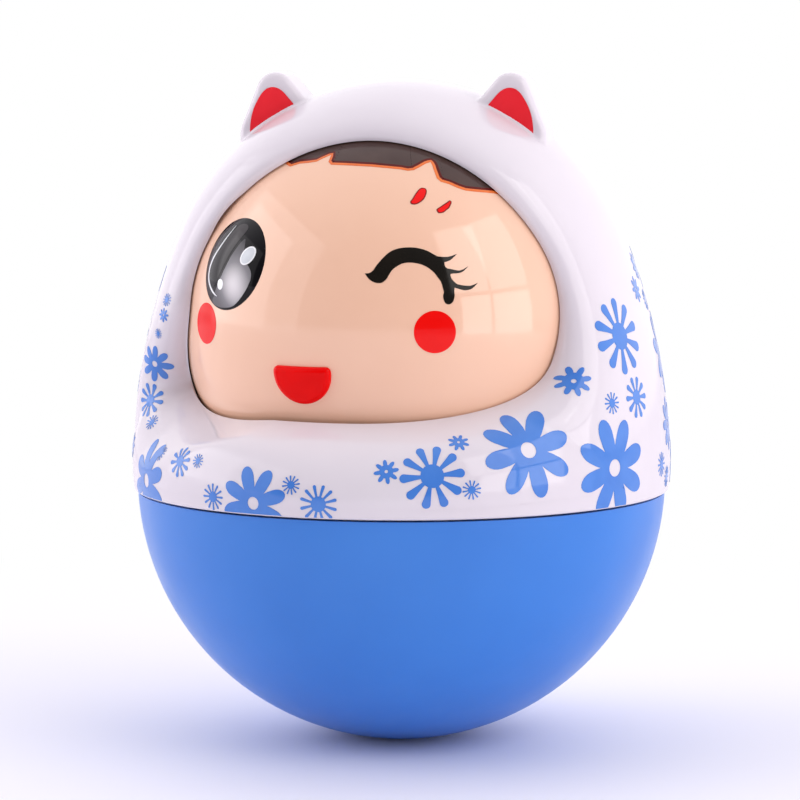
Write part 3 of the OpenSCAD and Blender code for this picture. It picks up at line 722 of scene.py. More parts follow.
# Flowers on the back: kind, radius and how many; where they may be, and the room between them
BACK_FLOWERS = (("daisy", 9.2, 7), ("splash", 6.6, 7), ("daisy", 4.6, 6), ("splash", 4.0, 8), ("button", 2.8, 14),
                ("star", 2.1, 22))
BACK_SEED, BACK_TRIES = 11, 300
BACK_AZ, BACK_HEIGHT, BACK_SPIN = (88, 278), (3, 46), (0, 45)
BACK_R = 50
FLOWER_GAP = 0.7
SEAM_MARGIN = 0.3


def oval_petal(start, end, half_w, count):
    """Petal along +X, an egg that is widest at a share of its length."""
    c, s = circle(1, count).T
    t = OVAL_WIDEST_SHARE + np.where(c > 0, 1 - OVAL_WIDEST_SHARE, OVAL_WIDEST_SHARE)*c
    return np.stack([start + (end - start)*t, half_w*s], -1)


def drop_petal(start, end, half_w, neck, count):
    """Petal along +X, a drop on a thin neck with a round end."""
    cap_x = end - half_w
    t = np.linspace(0, 1, count)
    width = neck + (half_w - neck)*t**DROP_POWER
    x = start + (cap_x - start)*t
    cap = half_w*on_circle(np.linspace(-math.pi/2, math.pi/2, count)[1:-1]) + np.array([cap_x, 0])
    return np.concatenate([np.stack([x, -width], -1), cap, np.stack([x, width], -1)[::-1]])


def flower(kind, r, spin_deg):
    """Outlines and cuts of one flower."""
    count, disc, hole, half_w, neck = FLOWERS[kind]
    petal_points, disc_points, hole_points = BIG_COUNTS if r > BIG_FLOWER else SMALL_COUNTS
    if neck is None:
        one = oval_petal(OVAL_ROOT_SHARE*r, r, half_w*r, petal_points)
    else:
        one = drop_petal(DROP_ROOT_SHARE*r, r, half_w*r, neck*r, petal_points//2)
    loops = [rotated(one, math.radians(spin_deg) + 2*math.pi*k/count) for k in range(count)]
    loops.append(circle(disc*r, disc_points))
    return loops, [circle(hole*r, hole_points)] if hole else []


def back_flowers():
    """The same scatter of flowers carried on round the back, from a fixed seed, with room between them."""
    rng = np.random.default_rng(BACK_SEED)
    placed = [(az, z, r) for _, az, z, r, _ in FRONT_FLOWERS]
    made = []
    for kind, r in [(kind, r) for kind, r, count in BACK_FLOWERS for _ in range(count)]:
        for _ in range(BACK_TRIES):
            az, z = rng.uniform(*BACK_AZ), rng.uniform(*BACK_HEIGHT)
            gaps = [math.hypot(math.radians((az - a + 180) % 360 - 180)*BACK_R, z - b) - r - q for a, b, q in placed]
            if min(gaps) > FLOWER_GAP:
                placed.append((az, z, r))
                made.append((kind, az, z, r, rng.uniform(*BACK_SPIN)))
                break
    return made


def seam_cut(r, height):
    """What is cut off a flower at a height above the seam, where it reaches down to the seam."""
    floor = SEAM_GAP + SEAM_MARGIN - height
    return [np.array([(-2*r, floor), (-2*r, -3*r), (2*r, -3*r), (2*r, floor)])] if floor > -r else []


def make_flowers(skin):
    """Printed flowers laid on the hood, cut where they reach the seam."""
    solids = []
    for kind, az, height, r, spin in FRONT_FLOWERS + back_flowers():
        loops, cuts = flower(kind, r, spin)
        middle = float(profile_s(height))
        flat, tris = fill(loops, cuts + seam_cut(r, middle), FLOWER_SPACING)
        radius = float(profile(middle)[0])
        solids.append(ink_solid(tris, *skin.lay(math.radians(az) + flat[:, 0]/radius, middle + flat[:, 1])))
    for kind, az, el, r, spin in EDGE_FLOWERS:
        loops, cuts = flower(kind, r, spin)
        az, el = math.radians(az), math.radians(el)
        flat, tris = fill(loops, cuts + seam_cut(r, skin.cast(az, el)[0].z - SEAM_Z), FLOWER_SPACING)
        solids.append(ink_solid(tris, *skin.stick(az, el, flat)))
    return print_object("flower_print", solids)


def make_lining(name, side):
    """Red front of an ear, let into its face and cut off along the hood's surface."""
    tip = np.array([side*EAR_X, EAR_TIP_Z - HEAD_C[2]])
    outline = rounded_loop(LINING, LINING_CORNERS)*np.array([side, 1]) + tip
    foot = math.sqrt((DOME_R + LINING_GAP)**2 - EAR_FACE_Y**2)
    flat, tris = fill([outline], [circle(foot, DOME_POINTS)], MARK_SPACING)
    points = np.column_stack([flat[:, 0], np.full(len(flat), EAR_FACE_Y), flat[:, 1] + HEAD_C[2]])
    normals = np.tile((0.0, -1.0, 0.0), (len(flat), 1))
    return print_object(name, [ink_solid(tris, points, normals, LINING_PROUD, -LINING_DEPTH)])


# Face print: outlines in degrees of azimuth from the face's middle and of elevation
WINK = [
    (16.6, 15.5), (17.6, 15.6), (18.6, 16.2), (19.5, 17.5), (21.0, 19.3), (22.9, 21.0), (25.1, 21.9), (27.8, 22.2),
    (30.4, 22.0), (32.8, 21.3), (34.8, 20.2), (35.8, 19.8), (38.3, 19.7), (40.8, 20.4), (38.9, 18.9), (37.2, 18.3),
    (37.3, 17.4), (37.8, 16.8), (38.7, 16.6), (41.2, 16.2), (43.6, 17.2), (41.6, 15.7), (38.8, 15.4), (38.6, 15.0),
    (38.9, 14.1), (39.8, 13.1), (40.8, 12.6), (43.6, 12.3), (45.8, 13.0), (44.1, 11.6), (42.3, 11.2), (40.8, 11.5),
    (39.5, 11.9), (39.4, 11.0), (39.4, 9.7), (39.0, 8.5), (38.1, 7.8), (37.1, 8.0), (36.6, 9.0), (36.5, 10.0),
    (36.7, 10.8), (36.5, 11.8), (36.1, 13.3), (35.3, 14.5), (34.3, 15.8), (32.8, 17.0), (31.2, 17.8), (29.4, 18.2),
    (27.9, 18.3), (26.4, 18.1), (24.9, 17.4), (23.6, 16.4), (22.8, 15.2), (22.2, 14.2), (21.2, 13.3), (20.1, 13.1),
    (18.8, 13.4), (17.6, 14.2),
]
WINK_CORNERS = (0, 13, 15, 20, 22, 28, 32)
WINK_EL = 15
BROW_MARKS = [
    [(28.6, 34.7), (29.3, 35.6), (30.4, 37.2), (31.6, 38.5), (32.6, 38.9), (33.6, 38.7), (34.0, 38.0), (33.8, 37.1),
     (33.2, 35.9), (32.2, 34.9), (30.8, 34.1), (29.7, 33.9), (28.9, 34.1)],
    [(36.3, 32.3), (36.6, 32.7), (37.5, 33.2), (38.7, 33.9), (39.8, 34.5), (40.6, 35.0), (41.1, 34.9), (41.3, 34.5),
     (40.9, 33.7), (40.2, 32.8), (39.3, 32.2), (38.4, 31.6), (37.4, 31.4), (36.7, 31.5)],
]
BROW_EL = 35
BROW_EDGE = 0.22
CHEEK_AZ, CHEEK_EL, CHEEK_R = 34.3, 1.0, 3.9
HAIRLINE = [
    (-84, 40), (-60, 44), (-40, 46), (-28, 46.4), (-22, 46.3), (-18.4, 45.3), (-14.8, 46.4), (-10.7, 46.8),
    (-7.4, 47.3), (-5.4, 48.5), (-2.6, 49.9), (-2.2, 47.3), (-0.6, 46.3), (4.8, 46.2), (15, 45.8), (25.5, 44.9),
    (28.2, 44.4), (30.3, 44.6), (32.6, 45.7), (35.0, 46.9), (36.8, 47.4), (37.2, 46.3), (37.5, 44.0), (37.9, 41.9),
    (39.0, 40.8), (41.6, 40.0), (44.4, 38.7), (46.8, 37.9), (50.3, 37.5), (53.5, 37.2), (56.4, 36.9), (60, 36.2),
    (70, 33), (84, 28),
]
HAIR_STEPS = 5
HAIR_EL, HAIR_TOP = 45, 89.0
HAIR_RISES = (0.0, 0.75, 1.45)
HAIR_BAND_ROWS, HAIR_ROWS = 3, 40
HAIR_BACK = -0.012


class FacePrint:
    """Lays outlines given in degrees on the head ball."""

    def __init__(self, middle_el):
        self.scale = HEAD_R*math.radians(1)*np.array([math.cos(math.radians(middle_el)), 1.0])

    def flat(self, degrees):
        """Millimetres from degrees."""
        return np.asarray(degrees, float)*self.scale

    def solid(self, loop, top=FACE_INK, spacing=FACE_SPACING):
        """Ink inside a flat loop."""
        flat, tris = fill([loop], spacing=spacing)
        az, el = (flat/self.scale).T
        ray = on_ball(FACE_TURN + az, el)
        return ink_solid(tris, HEAD_C + ray*HEAD_R, ray, top)


def hair_line(up_deg):
    """The hairline in short even steps, moved up square to itself, in degrees."""
    index = np.arange(len(HAIRLINE))
    t = np.arange(index[-1]*HAIR_STEPS + 1)/HAIR_STEPS
    scale = np.array([math.cos(math.radians(HAIR_EL)), 1.0])
    line = np.column_stack([np.interp(t, index, column) for column in zip(*HAIRLINE)])*scale
    return (line + side_of(line)*up_deg)/scale


def band_solid(lower, upper, rows):
    """Ink between two lines of directions on the ball, given in degrees."""
    t = np.linspace(0, 1, rows)[:, None, None]
    lines = lower[None]*(1 - t) + upper[None]*t
    ray = on_ball(FACE_TURN + lines[..., 0].ravel(), lines[..., 1].ravel())
    ray[:, 1] = np.minimum(ray[:, 1], HAIR_BACK)
    ray = unit(ray)
    count = len(lower)
    starts = [i*count + k for i in range(rows - 1) for k in range(count - 1)]
    faces = [(a, a + 1, a + count + 1, a + count) for a in starts]
    return ink_solid(faces, HEAD_C + ray*HEAD_R, ray, FACE_INK)


def make_face_paint():
    """Flesh coat over the front half of the head ball, a fine closed skin."""
    turn = round_turn(FACE_COLUMNS)
    off = np.linspace(0, math.radians(PAINT_EDGE), FACE_RINGS + 1)[1:, None]
    ray = np.stack([np.sin(off)*np.cos(turn), -np.cos(off) + 0*turn, np.sin(off)*np.sin(turn)], -1)
    radii = (HEAD_R + PAINT, HEAD_R - PAINT_DEPTH)
    rings = np.concatenate([ray*radii[0], ray[::-1]*radii[1]])
    rings[..., 0] = np.clip(rings[..., 0], -POLE_X, POLE_X)
    tips = [HEAD_C - np.array([0, r, 0]) for r in radii]
    return capped_rings("face_paint", HEAD_C + rings, tips, FACE_SHARP)


class FaceSpot:
    """Local axes of a piece on the face: u to the viewer's right, v up, h out of the head."""

    def __init__(self, az_deg, el_deg):
        self.out = on_ball(az_deg, el_deg)
        self.right = np.array([math.cos(math.radians(az_deg)), math.sin(math.radians(az_deg)), 0.0])
        self.up = np.cross(self.out, self.right)

    def place(self, uvh):
        """Points in the CAD's frame."""
        return HEAD_C + np.asarray(uvh, float) @ np.array([self.right, self.up, self.out])


# Eye: a cap of a ball that is seated in the face, and the section of its rim as steps in and down
EYE = FaceSpot(EYE_AZ, EYE_EL)
EYE_CAP = HEAD_R + EYE_PROUD - math.sqrt(HEAD_R**2 - EYE_R**2)
EYE_BALL_R = (EYE_R**2 + EYE_CAP**2)/(2*EYE_CAP)
EYE_BALL_D = HEAD_R + EYE_PROUD - EYE_BALL_R
EYE_RIM = ((0, 0.15), (0, 0.3), (0.4, 0.34))

# Painted highlights and reflections on the eye, in millimetres to the right and up from its middle
# Painted reflection: a pale grey shine patch on the eye's lower right
EYE_PAINTED_SHINE = [
    (3.3, 4.6), (1.9, 1.9), (0.6, -1.2), (-0.9, -3.8), (-2.9, -6.4), (-3.9, -7.6), (-1.4, -8.5), (1.9, -8.3),
    (3.9, -7.3), (5.7, -5.4), (6.8, -3.3), (6.9, -1.8), (6.3, -0.7), (5.0, 0.6), (4.2, 2.6),
]
# Painted reflection: a dark grey band down the eye's left side
EYE_PAINTED_REFLECTION = [
    (-0.2, 7.3), (-1.0, 5.8), (-1.9, 4.0), (-2.8, 2.4), (-3.9, 0.9), (-4.7, -0.6), (-5.0, -2.0), (-5.0, -3.2),
    (-4.4, -4.4), (-3.6, -5.2), (-2.2, -4.4), (-0.8, -2.4), (0.6, 0.4), (1.6, 3.0), (2.4, 5.2), (2.6, 6.8), (1.4, 7.6),
]
# Painted highlight: a thin white arc along the eye's left rim, and its half widths
EYE_HIGHLIGHT_ARC = [
    (-1.27, 7.1), (-1.75, 5.6), (-2.45, 4.0), (-3.3, 2.5), (-4.3, 1.05), (-5.1, -0.25), (-5.55, -1.5), (-5.65, -2.85),
    (-5.2, -4.1), (-4.15, -5.3), (-2.95, -6.15), (-1.9, -6.6),
]
EYE_HIGHLIGHT_ARC_WIDTHS = [0.04, 0.1, 0.16, 0.2, 0.23, 0.25, 0.26, 0.26, 0.24, 0.21, 0.16, 0.04]
# Painted glints: the big one's place, lean and sizes with its greyer middle, then the small one
GLINT_PLACE, GLINT_TILT = (5.4, 1.45), 68
GLINT_SIZE, GLINT_CORE_SIZE = (1.95, 1.38), (1.65, 1.1)
SMALL_GLINT = (-0.55, -4.45, 1.0, 0.85, 70)
EYE_PAINT_LOW = -0.05
SHADE_TOP, GLINT_TOP, GLINT_CORE_TOP = 0.04, 0.07, 0.09
SHADE_SPACING, GLINT_SPACING = 0.6, 0.7
EYE_PAINTED_EDGE = 0.1

# Lightness of the painted shine, a soft spot that is dimmer higher up, and of the painted reflection band, by height
SHINE_MIDDLE, SHINE_SPREAD, SHINE_LOW = (3.3, -4.3), (14, 20), 0.16
SHINE_FALL, SHINE_FALL_FROM, SHINE_FALL_OVER = 0.1, 0.5, 4
PAINTED_REFLECTION_MID, PAINTED_REFLECTION_SLOPE, PAINTED_REFLECTION_RANGE = 0.2, 0.06, (0.1, 0.6)


def make_eye():
    """The raised eye: a polished cap seated in the face, with a softened rim."""
    angles = math.asin(EYE_R/EYE_BALL_R)*np.linspace(0, 1, EYE_RINGS)[1:]
    section = [(EYE_BALL_R*math.sin(t), EYE_BALL_D + EYE_BALL_R*math.cos(t)) for t in angles]
    r, h = section[-1]
    section += [(r - inward, h - down) for inward, down in EYE_RIM]
    rings = np.array([[(r*x, r*y, h) for x, y in circle(1, EYE_COLUMNS)] for r, h in section])
    tips = [(0, 0, EYE_BALL_D + EYE_BALL_R), (0, 0, section[-1][1])]
    return capped_rings("eye", EYE.place(rings), EYE.place(tips), EYE_SHARP)


def eye_light_mark(name, loops, top, spacing):
    """Painted light laid on the eye's cap, and its flat points."""
    flat, tris = fill(loops, spacing=spacing)
    reach = norm(flat)
    flat = flat*(np.minimum(reach, EYE_R - EYE_PAINTED_EDGE)/np.maximum(reach, NEAR_ZERO))[:, None]
    h = np.sqrt(EYE_BALL_R**2 - flat[:, 0]**2 - flat[:, 1]**2)
    points = EYE.place(np.column_stack([flat, EYE_BALL_D + h]))
    normals = (points - (HEAD_C + EYE.out*EYE_BALL_D))/EYE_BALL_R
    return print_object(name, [ink_solid(tris, points, normals, top, EYE_PAINT_LOW)]), flat


def set_shade(obj, values):
    """A smooth share per point, the same on both sides of the thin solid, which the material reads as painted light and
    dark.
    """
    layer = obj.data.attributes.new("shade", "FLOAT", "POINT")
    layer.data.foreach_set("value", np.tile(values, 2).astype(np.float32))


def make_eye_painted_light():
    """Painted light on the eye: a grey painted shine, a dark grey painted reflection down its left side, two painted
    glints and a thin painted highlight arc.
    """
    shine_patch, flat = eye_light_mark("eye_painted_shine", [rounded_loop(EYE_PAINTED_SHINE, steps=4)], SHADE_TOP, SHADE_SPACING)
    near = np.exp(-((flat - SHINE_MIDDLE)**2/SHINE_SPREAD).sum(-1))
    above = np.clip((flat[:, 1] - SHINE_FALL_FROM)/SHINE_FALL_OVER, 0, 1)
    set_shade(shine_patch, np.clip(SHINE_LOW + (1 - SHINE_LOW)*near - SHINE_FALL*above, 0, 1))
    reflection_patch, flat = eye_light_mark("eye_painted_reflection", [rounded_loop(EYE_PAINTED_REFLECTION, steps=4)], SHADE_TOP, SHADE_SPACING)
    set_shade(reflection_patch, np.clip(PAINTED_REFLECTION_MID + PAINTED_REFLECTION_SLOPE*flat[:, 1], *PAINTED_REFLECTION_RANGE))
    glints = [tilted_oval(*GLINT_PLACE, *GLINT_SIZE, GLINT_TILT), tilted_oval(*SMALL_GLINT),
              stroke(EYE_HIGHLIGHT_ARC, EYE_HIGHLIGHT_ARC_WIDTHS)]
    white, _ = eye_light_mark("eye_painted_glints", glints, GLINT_TOP, GLINT_SPACING)
    core = [tilted_oval(*GLINT_PLACE, *GLINT_CORE_SIZE, GLINT_TILT)]
    core, _ = eye_light_mark("eye_painted_glint_core", core, GLINT_CORE_TOP, GLINT_SPACING)
    return shine_patch, reflection_patch, white, core


# Section of the mouth's edge as steps in from its outline and heights over the head, then shares of its flat top
MOUTH_STEPS = (
    (0.0, -MOUTH_DEPTH), (0.0, MOUTH_PROUD - 0.75), (0.04, MOUTH_PROUD - 0.55), (0.14, MOUTH_PROUD - 0.38),
    (0.55, MOUTH_PROUD - 0.1), (0.75, MOUTH_PROUD - 0.03), (0.95, MOUTH_PROUD),
)
MOUTH_SHARES = (0.85, 0.7, 0.55, 0.4, 0.25, 0.1)


def mouth_outline():
    """A half-moon mouth with rounded corners, flat side up."""
    half = math.sqrt(MOUTH_R**2 - MOUTH_FLAT**2)
    inside = half - MOUTH_CORNER
    end = math.atan2(MOUTH_FLAT, half) - MOUTH_CORNER_TURN
    arc = MOUTH_R*on_circle(np.linspace(math.pi - end, 2*math.pi + end, MOUTH_ARC))
    line = np.column_stack([np.linspace(inside, -inside, MOUTH_LINE), np.full(MOUTH_LINE, MOUTH_FLAT)])
    u = np.linspace(0, 1, MOUTH_BEND)[1:-1, None]
    right = bend(u, arc[-1], np.array([half, MOUTH_FLAT]), line[0])
    left = bend(u, line[-1], np.array([-half, MOUTH_FLAT]), arc[0])
    return np.concatenate([arc, right, line, left])


def make_mouth():
    """The raised mouth: a half-moon button with a bevelled edge, its top on a ball round the head's centre."""
    spot = FaceSpot(FACE_TURN, MOUTH_EL)

    def lifted(loop, rise):
        return spot.place(np.column_stack([loop, np.sqrt((HEAD_R + rise)**2 - loop[:, 0]**2 - loop[:, 1]**2)]))

    outline = mouth_outline()
    rows = [(shrunk(outline, inset), rise) for inset, rise in MOUTH_STEPS]
    inner = rows[-1][0]
    rows += [(MOUTH_MIDDLE + (inner - MOUTH_MIDDLE)*share, MOUTH_PROUD) for share in MOUTH_SHARES]
    tips = np.concatenate([lifted(MOUTH_MIDDLE[None], rise) for rise in (-MOUTH_DEPTH, MOUTH_PROUD)])
    return capped_rings("mouth", np.array([lifted(*row) for row in rows]), tips, MOUTH_SHARP)


# Materials
def linear(red, green, blue):
    """Scene colour from the 0 to 255 values of a picture."""
    shares = [v/255 for v in (red, green, blue)]
    return (*(v/12.92 if v <= 0.04045 else ((v + 0.055)/1.055)**2.4 for v in shares), 1.0)


def node_material(name):
    """A new material, its nodes and its shader."""
    mat = bpy.data.materials.new(name)
    mat.use_nodes = True
    return mat, mat.node_tree, mat.node_tree.nodes["Principled BSDF"]


def feed(tree, node, inputs):
    """Sets a node's sockets: links where the value is another node's output, constants elsewhere."""
    for key, value in inputs.items():
        if isinstance(value, bpy.types.NodeSocket):
            tree.links.new(value, node.inputs[key])
        else:
            node.inputs[key].default_value = value


def add(tree, kind, inputs, output, **settings):
    """A new node with its settings and sockets; gives one of its outputs."""
    node = tree.nodes.new("ShaderNode" + kind)
    for key, value in settings.items():
        setattr(node, key, value)
    feed(tree, node, inputs)
    return node.outputs[output]


def noise(tree, scale, detail=2.0, roughness=0.5, stretch=1.0):
    """Cloudy values over the object; stretch scales them along Z."""
    place = add(tree, "TexCoord", {}, "Object")
    if stretch != 1:
        place = add(tree, "Mapping", {"Vector": place, "Scale": (1.0, 1.0, stretch)}, "Vector")
    return add(tree, "TexNoise", {"Vector": place, "Scale": scale, "Detail": detail, "Roughness": roughness}, "Fac")


def map_range(tree, value, start, end, interpolation="LINEAR"):
    """Values from one range stretched to another."""
    inputs = {"Value": value, "From Min": start[0], "From Max": start[1], "To Min": end[0], "To Max": end[1]}
    return add(tree, "MapRange", inputs, "Result", interpolation_type=interpolation)


def ramp(tree, factor, stops):
    """Colours between stops, each with its place and colour."""
    output = add(tree, "ValToRGB", {"Fac": factor}, "Color")
    elements = output.node.color_ramp.elements
    while len(elements) < len(stops):
        elements.new(0.5)
    for element, (at, colour) in zip(elements, stops):
        element.position = at
        element.color = colour
    return output


def bump(tree, height, strength, distance):
    """Fine relief from a height."""
    return add(tree, "Bump", {"Height": height, "Strength": strength, "Distance": distance}, "Normal")


# Looks that several materials share; a skin is its grain per metre and the strength and depth of its bump
NOISE_RANGE = (0.3, 0.7)
CLOUD_DETAIL, GLOSS_CLOUD_SHARE, COAT_ROUGH = 3.0, 2.3, 0.04
METAL_NOISE, METAL_BUMP = (4.0, 0.6), (0.15, 0.0001)
SHADE_CLOUD, SHADE_GLOSS, SHADE_SKIN, SHADE_IOR = 200.0, (0.06, 0.1), (900.0, 0.04, 0.00003), 1.3
GLOSS = (0.05, 0.09)
SHELL_SKIN, INK_SKIN, GLINT_SKIN = (260.0, 0.05, 0.00006), (260.0, 0.04, 0.00005), (300.0, 0.03, 0.00004)


def clouded(tree, factor, dark, light):
    """A colour that drifts between two, by noise."""
    return ramp(tree, factor, list(zip(NOISE_RANGE, (linear(*dark), linear(*light)))))


def plastic(name, dark, light, rough, skin, cloud, ior=1.5, coat=0.0):
    """Moulded plastic: a faint cloud in its colour and gloss, and a fine uneven skin."""
    mat, tree, shader = node_material(name)
    feed(tree, shader, {
        "Base Color": clouded(tree, noise(tree, cloud, CLOUD_DETAIL), dark, light),
        "Roughness": map_range(tree, noise(tree, cloud*GLOSS_CLOUD_SHARE), NOISE_RANGE, rough),
        "Normal": bump(tree, noise(tree, skin[0]), *skin[1:]),
        "IOR": ior, "Coat Weight": coat, "Coat Roughness": COAT_ROUGH,
    })
    return mat


def metal(name, dark, light, rough, grain, stretch):
    """Metal with a worked or cast skin."""
    mat, tree, shader = node_material(name)
    source = noise(tree, grain, *METAL_NOISE, stretch)
    feed(tree, shader, {
        "Base Color": clouded(tree, source, dark, light), "Roughness": map_range(tree, source, NOISE_RANGE, rough),
        "Normal": bump(tree, source, *METAL_BUMP), "Metallic": 1.0,
    })
    return mat


def painted_reflection_material(name, stops):
    """Painted reflection whose lightness follows the shade values on its points, under a clear gloss."""
    mat, tree, shader = node_material(name)
    shade = add(tree, "Attribute", {}, "Fac", attribute_name="shade")
    feed(tree, shader, {
        "Base Color": ramp(tree, shade, [(at, linear(*colour)) for at, colour in stops]),
        "Roughness": map_range(tree, noise(tree, SHADE_CLOUD), NOISE_RANGE, SHADE_GLOSS),
        "Normal": bump(tree, noise(tree, SHADE_SKIN[0]), *SHADE_SKIN[1:]), "IOR": SHADE_IOR,
    })
    return mat


def ink(name, dark, light, cloud, ior=1.5):
    """Glossy print."""
    return plastic(name, dark, light, GLOSS, INK_SKIN, cloud, ior)


WHITE = plastic("white_plastic_look", (222, 215, 223), (227, 221, 228), GLOSS, SHELL_SKIN, 30.0)
# The blue's roughness stays over 0.274: a range across that value leaves faint lines after denoising
BLUE = plastic("blue_plastic_look", (47, 122, 214), (54, 129, 220), (0.28, 0.36), (420.0, 0.1, 0.00006), 35.0)
FLOWER_INK = plastic("flower_ink_look", (66, 124, 210), (76, 134, 218), GLOSS, SHELL_SKIN, 180.0)
FLESH = ink("flesh_plastic_look", (244, 197, 168), (247, 202, 174), 40.0, 1.58)
RED = plastic("red_plastic_look", (230, 2, 2), (240, 4, 4), (0.08, 0.13), (300.0, 0.06, 0.00005), 120.0, 1.2)
LINING_RED = plastic("lining_red_look", (236, 34, 46), (244, 42, 54), (0.18, 0.26), (500.0, 0.1, 0.00006), 150.0, 1.34)
BLUSH_INK = ink("blush_ink_look", (240, 8, 4), (246, 14, 10), 150.0, 1.34)
MARK_EDGE = ink("mark_edge_ink_look", (120, 14, 10), (136, 20, 14), 300.0, 1.34)
BLACK_INK = ink("black_ink_look", (20, 17, 13), (27, 23, 18), 200.0, 1.34)
BLACK = plastic("black_plastic_look", (10, 9, 12), (15, 13, 17), (0.03, 0.06), GLINT_SKIN, 200.0, 1.3)
HAIR_INK = ink("hair_ink_look", (66, 46, 42), (78, 58, 52), 150.0, 1.42)
HAIR_EDGE = ink("hair_edge_ink_look", (84, 14, 8), (98, 22, 14), 300.0, 1.3)
ORANGE_INK = ink("orange_ink_look", (232, 106, 34), (240, 124, 52), 260.0)
BROWN = plastic("brown_plastic_look", (54, 36, 30), (64, 44, 37), (0.1, 0.18), SHELL_SKIN, 60.0, coat=0.3)
GREY = plastic("grey_plastic_look", (186, 189, 196), (200, 203, 209), (0.42, 0.52), (1500.0, 0.25, 0.00005), 90.0)
NYLON = plastic("nylon_look", (228, 224, 212), (238, 235, 226), (0.36, 0.46), (1200.0, 0.2, 0.00005), 120.0)
# Painted highlights on the eye: white glints and arc, and the big glint's greyer middle
GLINT = plastic("painted_glint_look", (244, 246, 248), (252, 253, 254), GLOSS, GLINT_SKIN, 200.0, coat=0.3)
GLINT_CORE = plastic("painted_glint_core_look", (206, 212, 218), (216, 221, 226), GLOSS, GLINT_SKIN, 200.0, coat=0.3)
# Painted reflection on the eye: a grey shine, lightest in a soft spot
SHINE = painted_reflection_material("painted_shine_look", [(0.0, (48, 46, 50)), (0.5, (140, 138, 142)), (1.0, (232, 228, 230))])
# Painted reflection on the eye: a dark grey band, lighter higher up
PAINTED_REFLECTION = painted_reflection_material("painted_reflection_look", [(0.0, (22, 21, 23)), (1.0, (84, 80, 82))])
IRON = metal("ballast_iron_look", (70, 72, 76), (98, 100, 104), (0.5, 0.68), 700.0, 1.0)
STEEL = metal("steel_look", (176, 180, 186), (204, 208, 214), (0.24, 0.36), 500.0, 0.15)
BRASS = metal("brass_look", (186, 144, 66), (214, 172, 88), (0.2, 0.3), 600.0, 0.15)

SLOT_LOOKS = {
    "blue_plastic": BLUE, "white_plastic": WHITE, "red_plastic": RED, "flesh_plastic": FLESH, "brown_plastic": BROWN,
    "black_plastic": BLACK, "grey_plastic": GREY, "nylon": NYLON, "ballast_iron": IRON, "steel": STEEL, "brass": BRASS,
}


# Object
def dress(obj, material, body, slot, *nodes):
    """Material and body of a piece, and the CAD nodes that it stands for. The slot is not used."""
    obj.data.materials.clear()
    obj.data.materials.append(material)
    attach(obj, body)
    if nodes:
        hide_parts(*nodes)


def dress_cad():
    """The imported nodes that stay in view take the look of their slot."""
    for part in frame["record"]["subparts"]:
        obj = frame["nodes"][part["node"]]
        obj.data.materials.clear()
        obj.data.materials.append(SLOT_LOOKS[part["material_slot"]])


def make_object():
    """All the pieces of the toy, each with its look."""
    dress_cad()
    hood, rings = make_hood()
    dress(hood, WHITE, "body", "white_plastic", "hood_shell")
    dress(make_flowers(HoodSkin(rings)), FLOWER_INK, "body", "blue_plastic")
    dress(make_lining("ear_front_left", -1), LINING_RED, "body", "red_plastic", "ear_lining_left")
    dress(make_lining("ear_front_right", 1), LINING_RED, "body", "red_plastic", "ear_lining_right")

    dress(make_face_paint(), FLESH, "head", "flesh_plastic")
    dress(make_eye(), BLACK, "head", "black_plastic", "eye_dome")
    # Painted light on the eye: shine, reflection band, glints and the big glint's greyer middle
    shine_patch, reflection_patch, white, core = make_eye_painted_light()
    dress(shine_patch, SHINE, "head", "grey_plastic")
    dress(reflection_patch, PAINTED_REFLECTION, "head", "black_plastic")
    dress(white, GLINT, "head", "white_plastic")
    dress(core, GLINT_CORE, "head", "white_plastic")
    dress(make_mouth(), RED, "head", "red_plastic", "mouth_insert")

    wink = FacePrint(WINK_EL)
    loop = rounded_loop(wink.flat(WINK), WINK_CORNERS)
    dress(print_object("wink_print", [wink.solid(loop)]), BLACK_INK, "head", "black_plastic")

    brow = FacePrint(BROW_EL)
    loops = [rounded_loop(brow.flat(mark)) for mark in BROW_MARKS]
    edge = [brow.solid(loop, FACE_INK, MARK_SPACING) for loop in loops]
    dress(print_object("brow_edge_print", edge), MARK_EDGE, "head", "red_plastic")
    inner = [brow.solid(shrunk(loop, BROW_EDGE), FACE_INK + INK_STEP, MARK_SPACING) for loop in loops]
    dress(print_object("brow_print", inner), BLUSH_INK, "head", "red_plastic")

    cheek = FacePrint(CHEEK_EL)
    cheeks = [cheek.solid(circle(CHEEK_R, CHEEK_POINTS) + cheek.flat((az, CHEEK_EL))) for az in (-CHEEK_AZ, CHEEK_AZ)]
    dress(print_object("cheek_print", cheeks), BLUSH_INK, "head", "red_plastic")

    low, mid, high = (hair_line(rise) for rise in HAIR_RISES)
    crown = np.stack([high[:, 0], np.full(len(high), HAIR_TOP)], -1)
    outline, edge = band_solid(low, mid, HAIR_BAND_ROWS), band_solid(mid, high, HAIR_BAND_ROWS)
    dress(print_object("hair_outline_print", [outline]), ORANGE_INK, "head", "red_plastic")
    dress(print_object("hair_edge_print", [edge]), HAIR_EDGE, "head", "brown_plastic")
    dress(print_object("hair_print", [band_solid(high, crown, HAIR_ROWS)]), HAIR_INK, "head", "brown_plastic")


# Studio, in metres
FLOOR_HALF = 4
FLOOR_DARK, FLOOR_LIGHT = (238, 236, 243), (241, 239, 246)
FLOOR_FADE = (0.05, 0.26)
FLOOR_CLOUD, FLOOR_ROUGH = 4.0, 0.6
ROOM_COLOUR = (0.98, 0.95, 1.0, 1)
ROOM_DEPTH, ROOM_STRENGTH = (-1.0, 0.2), (0.12, 1.25)
PURE_WHITE = (1, 1, 1, 1)
LIGHT_TARGET = Vector((0, 0, 0.065))

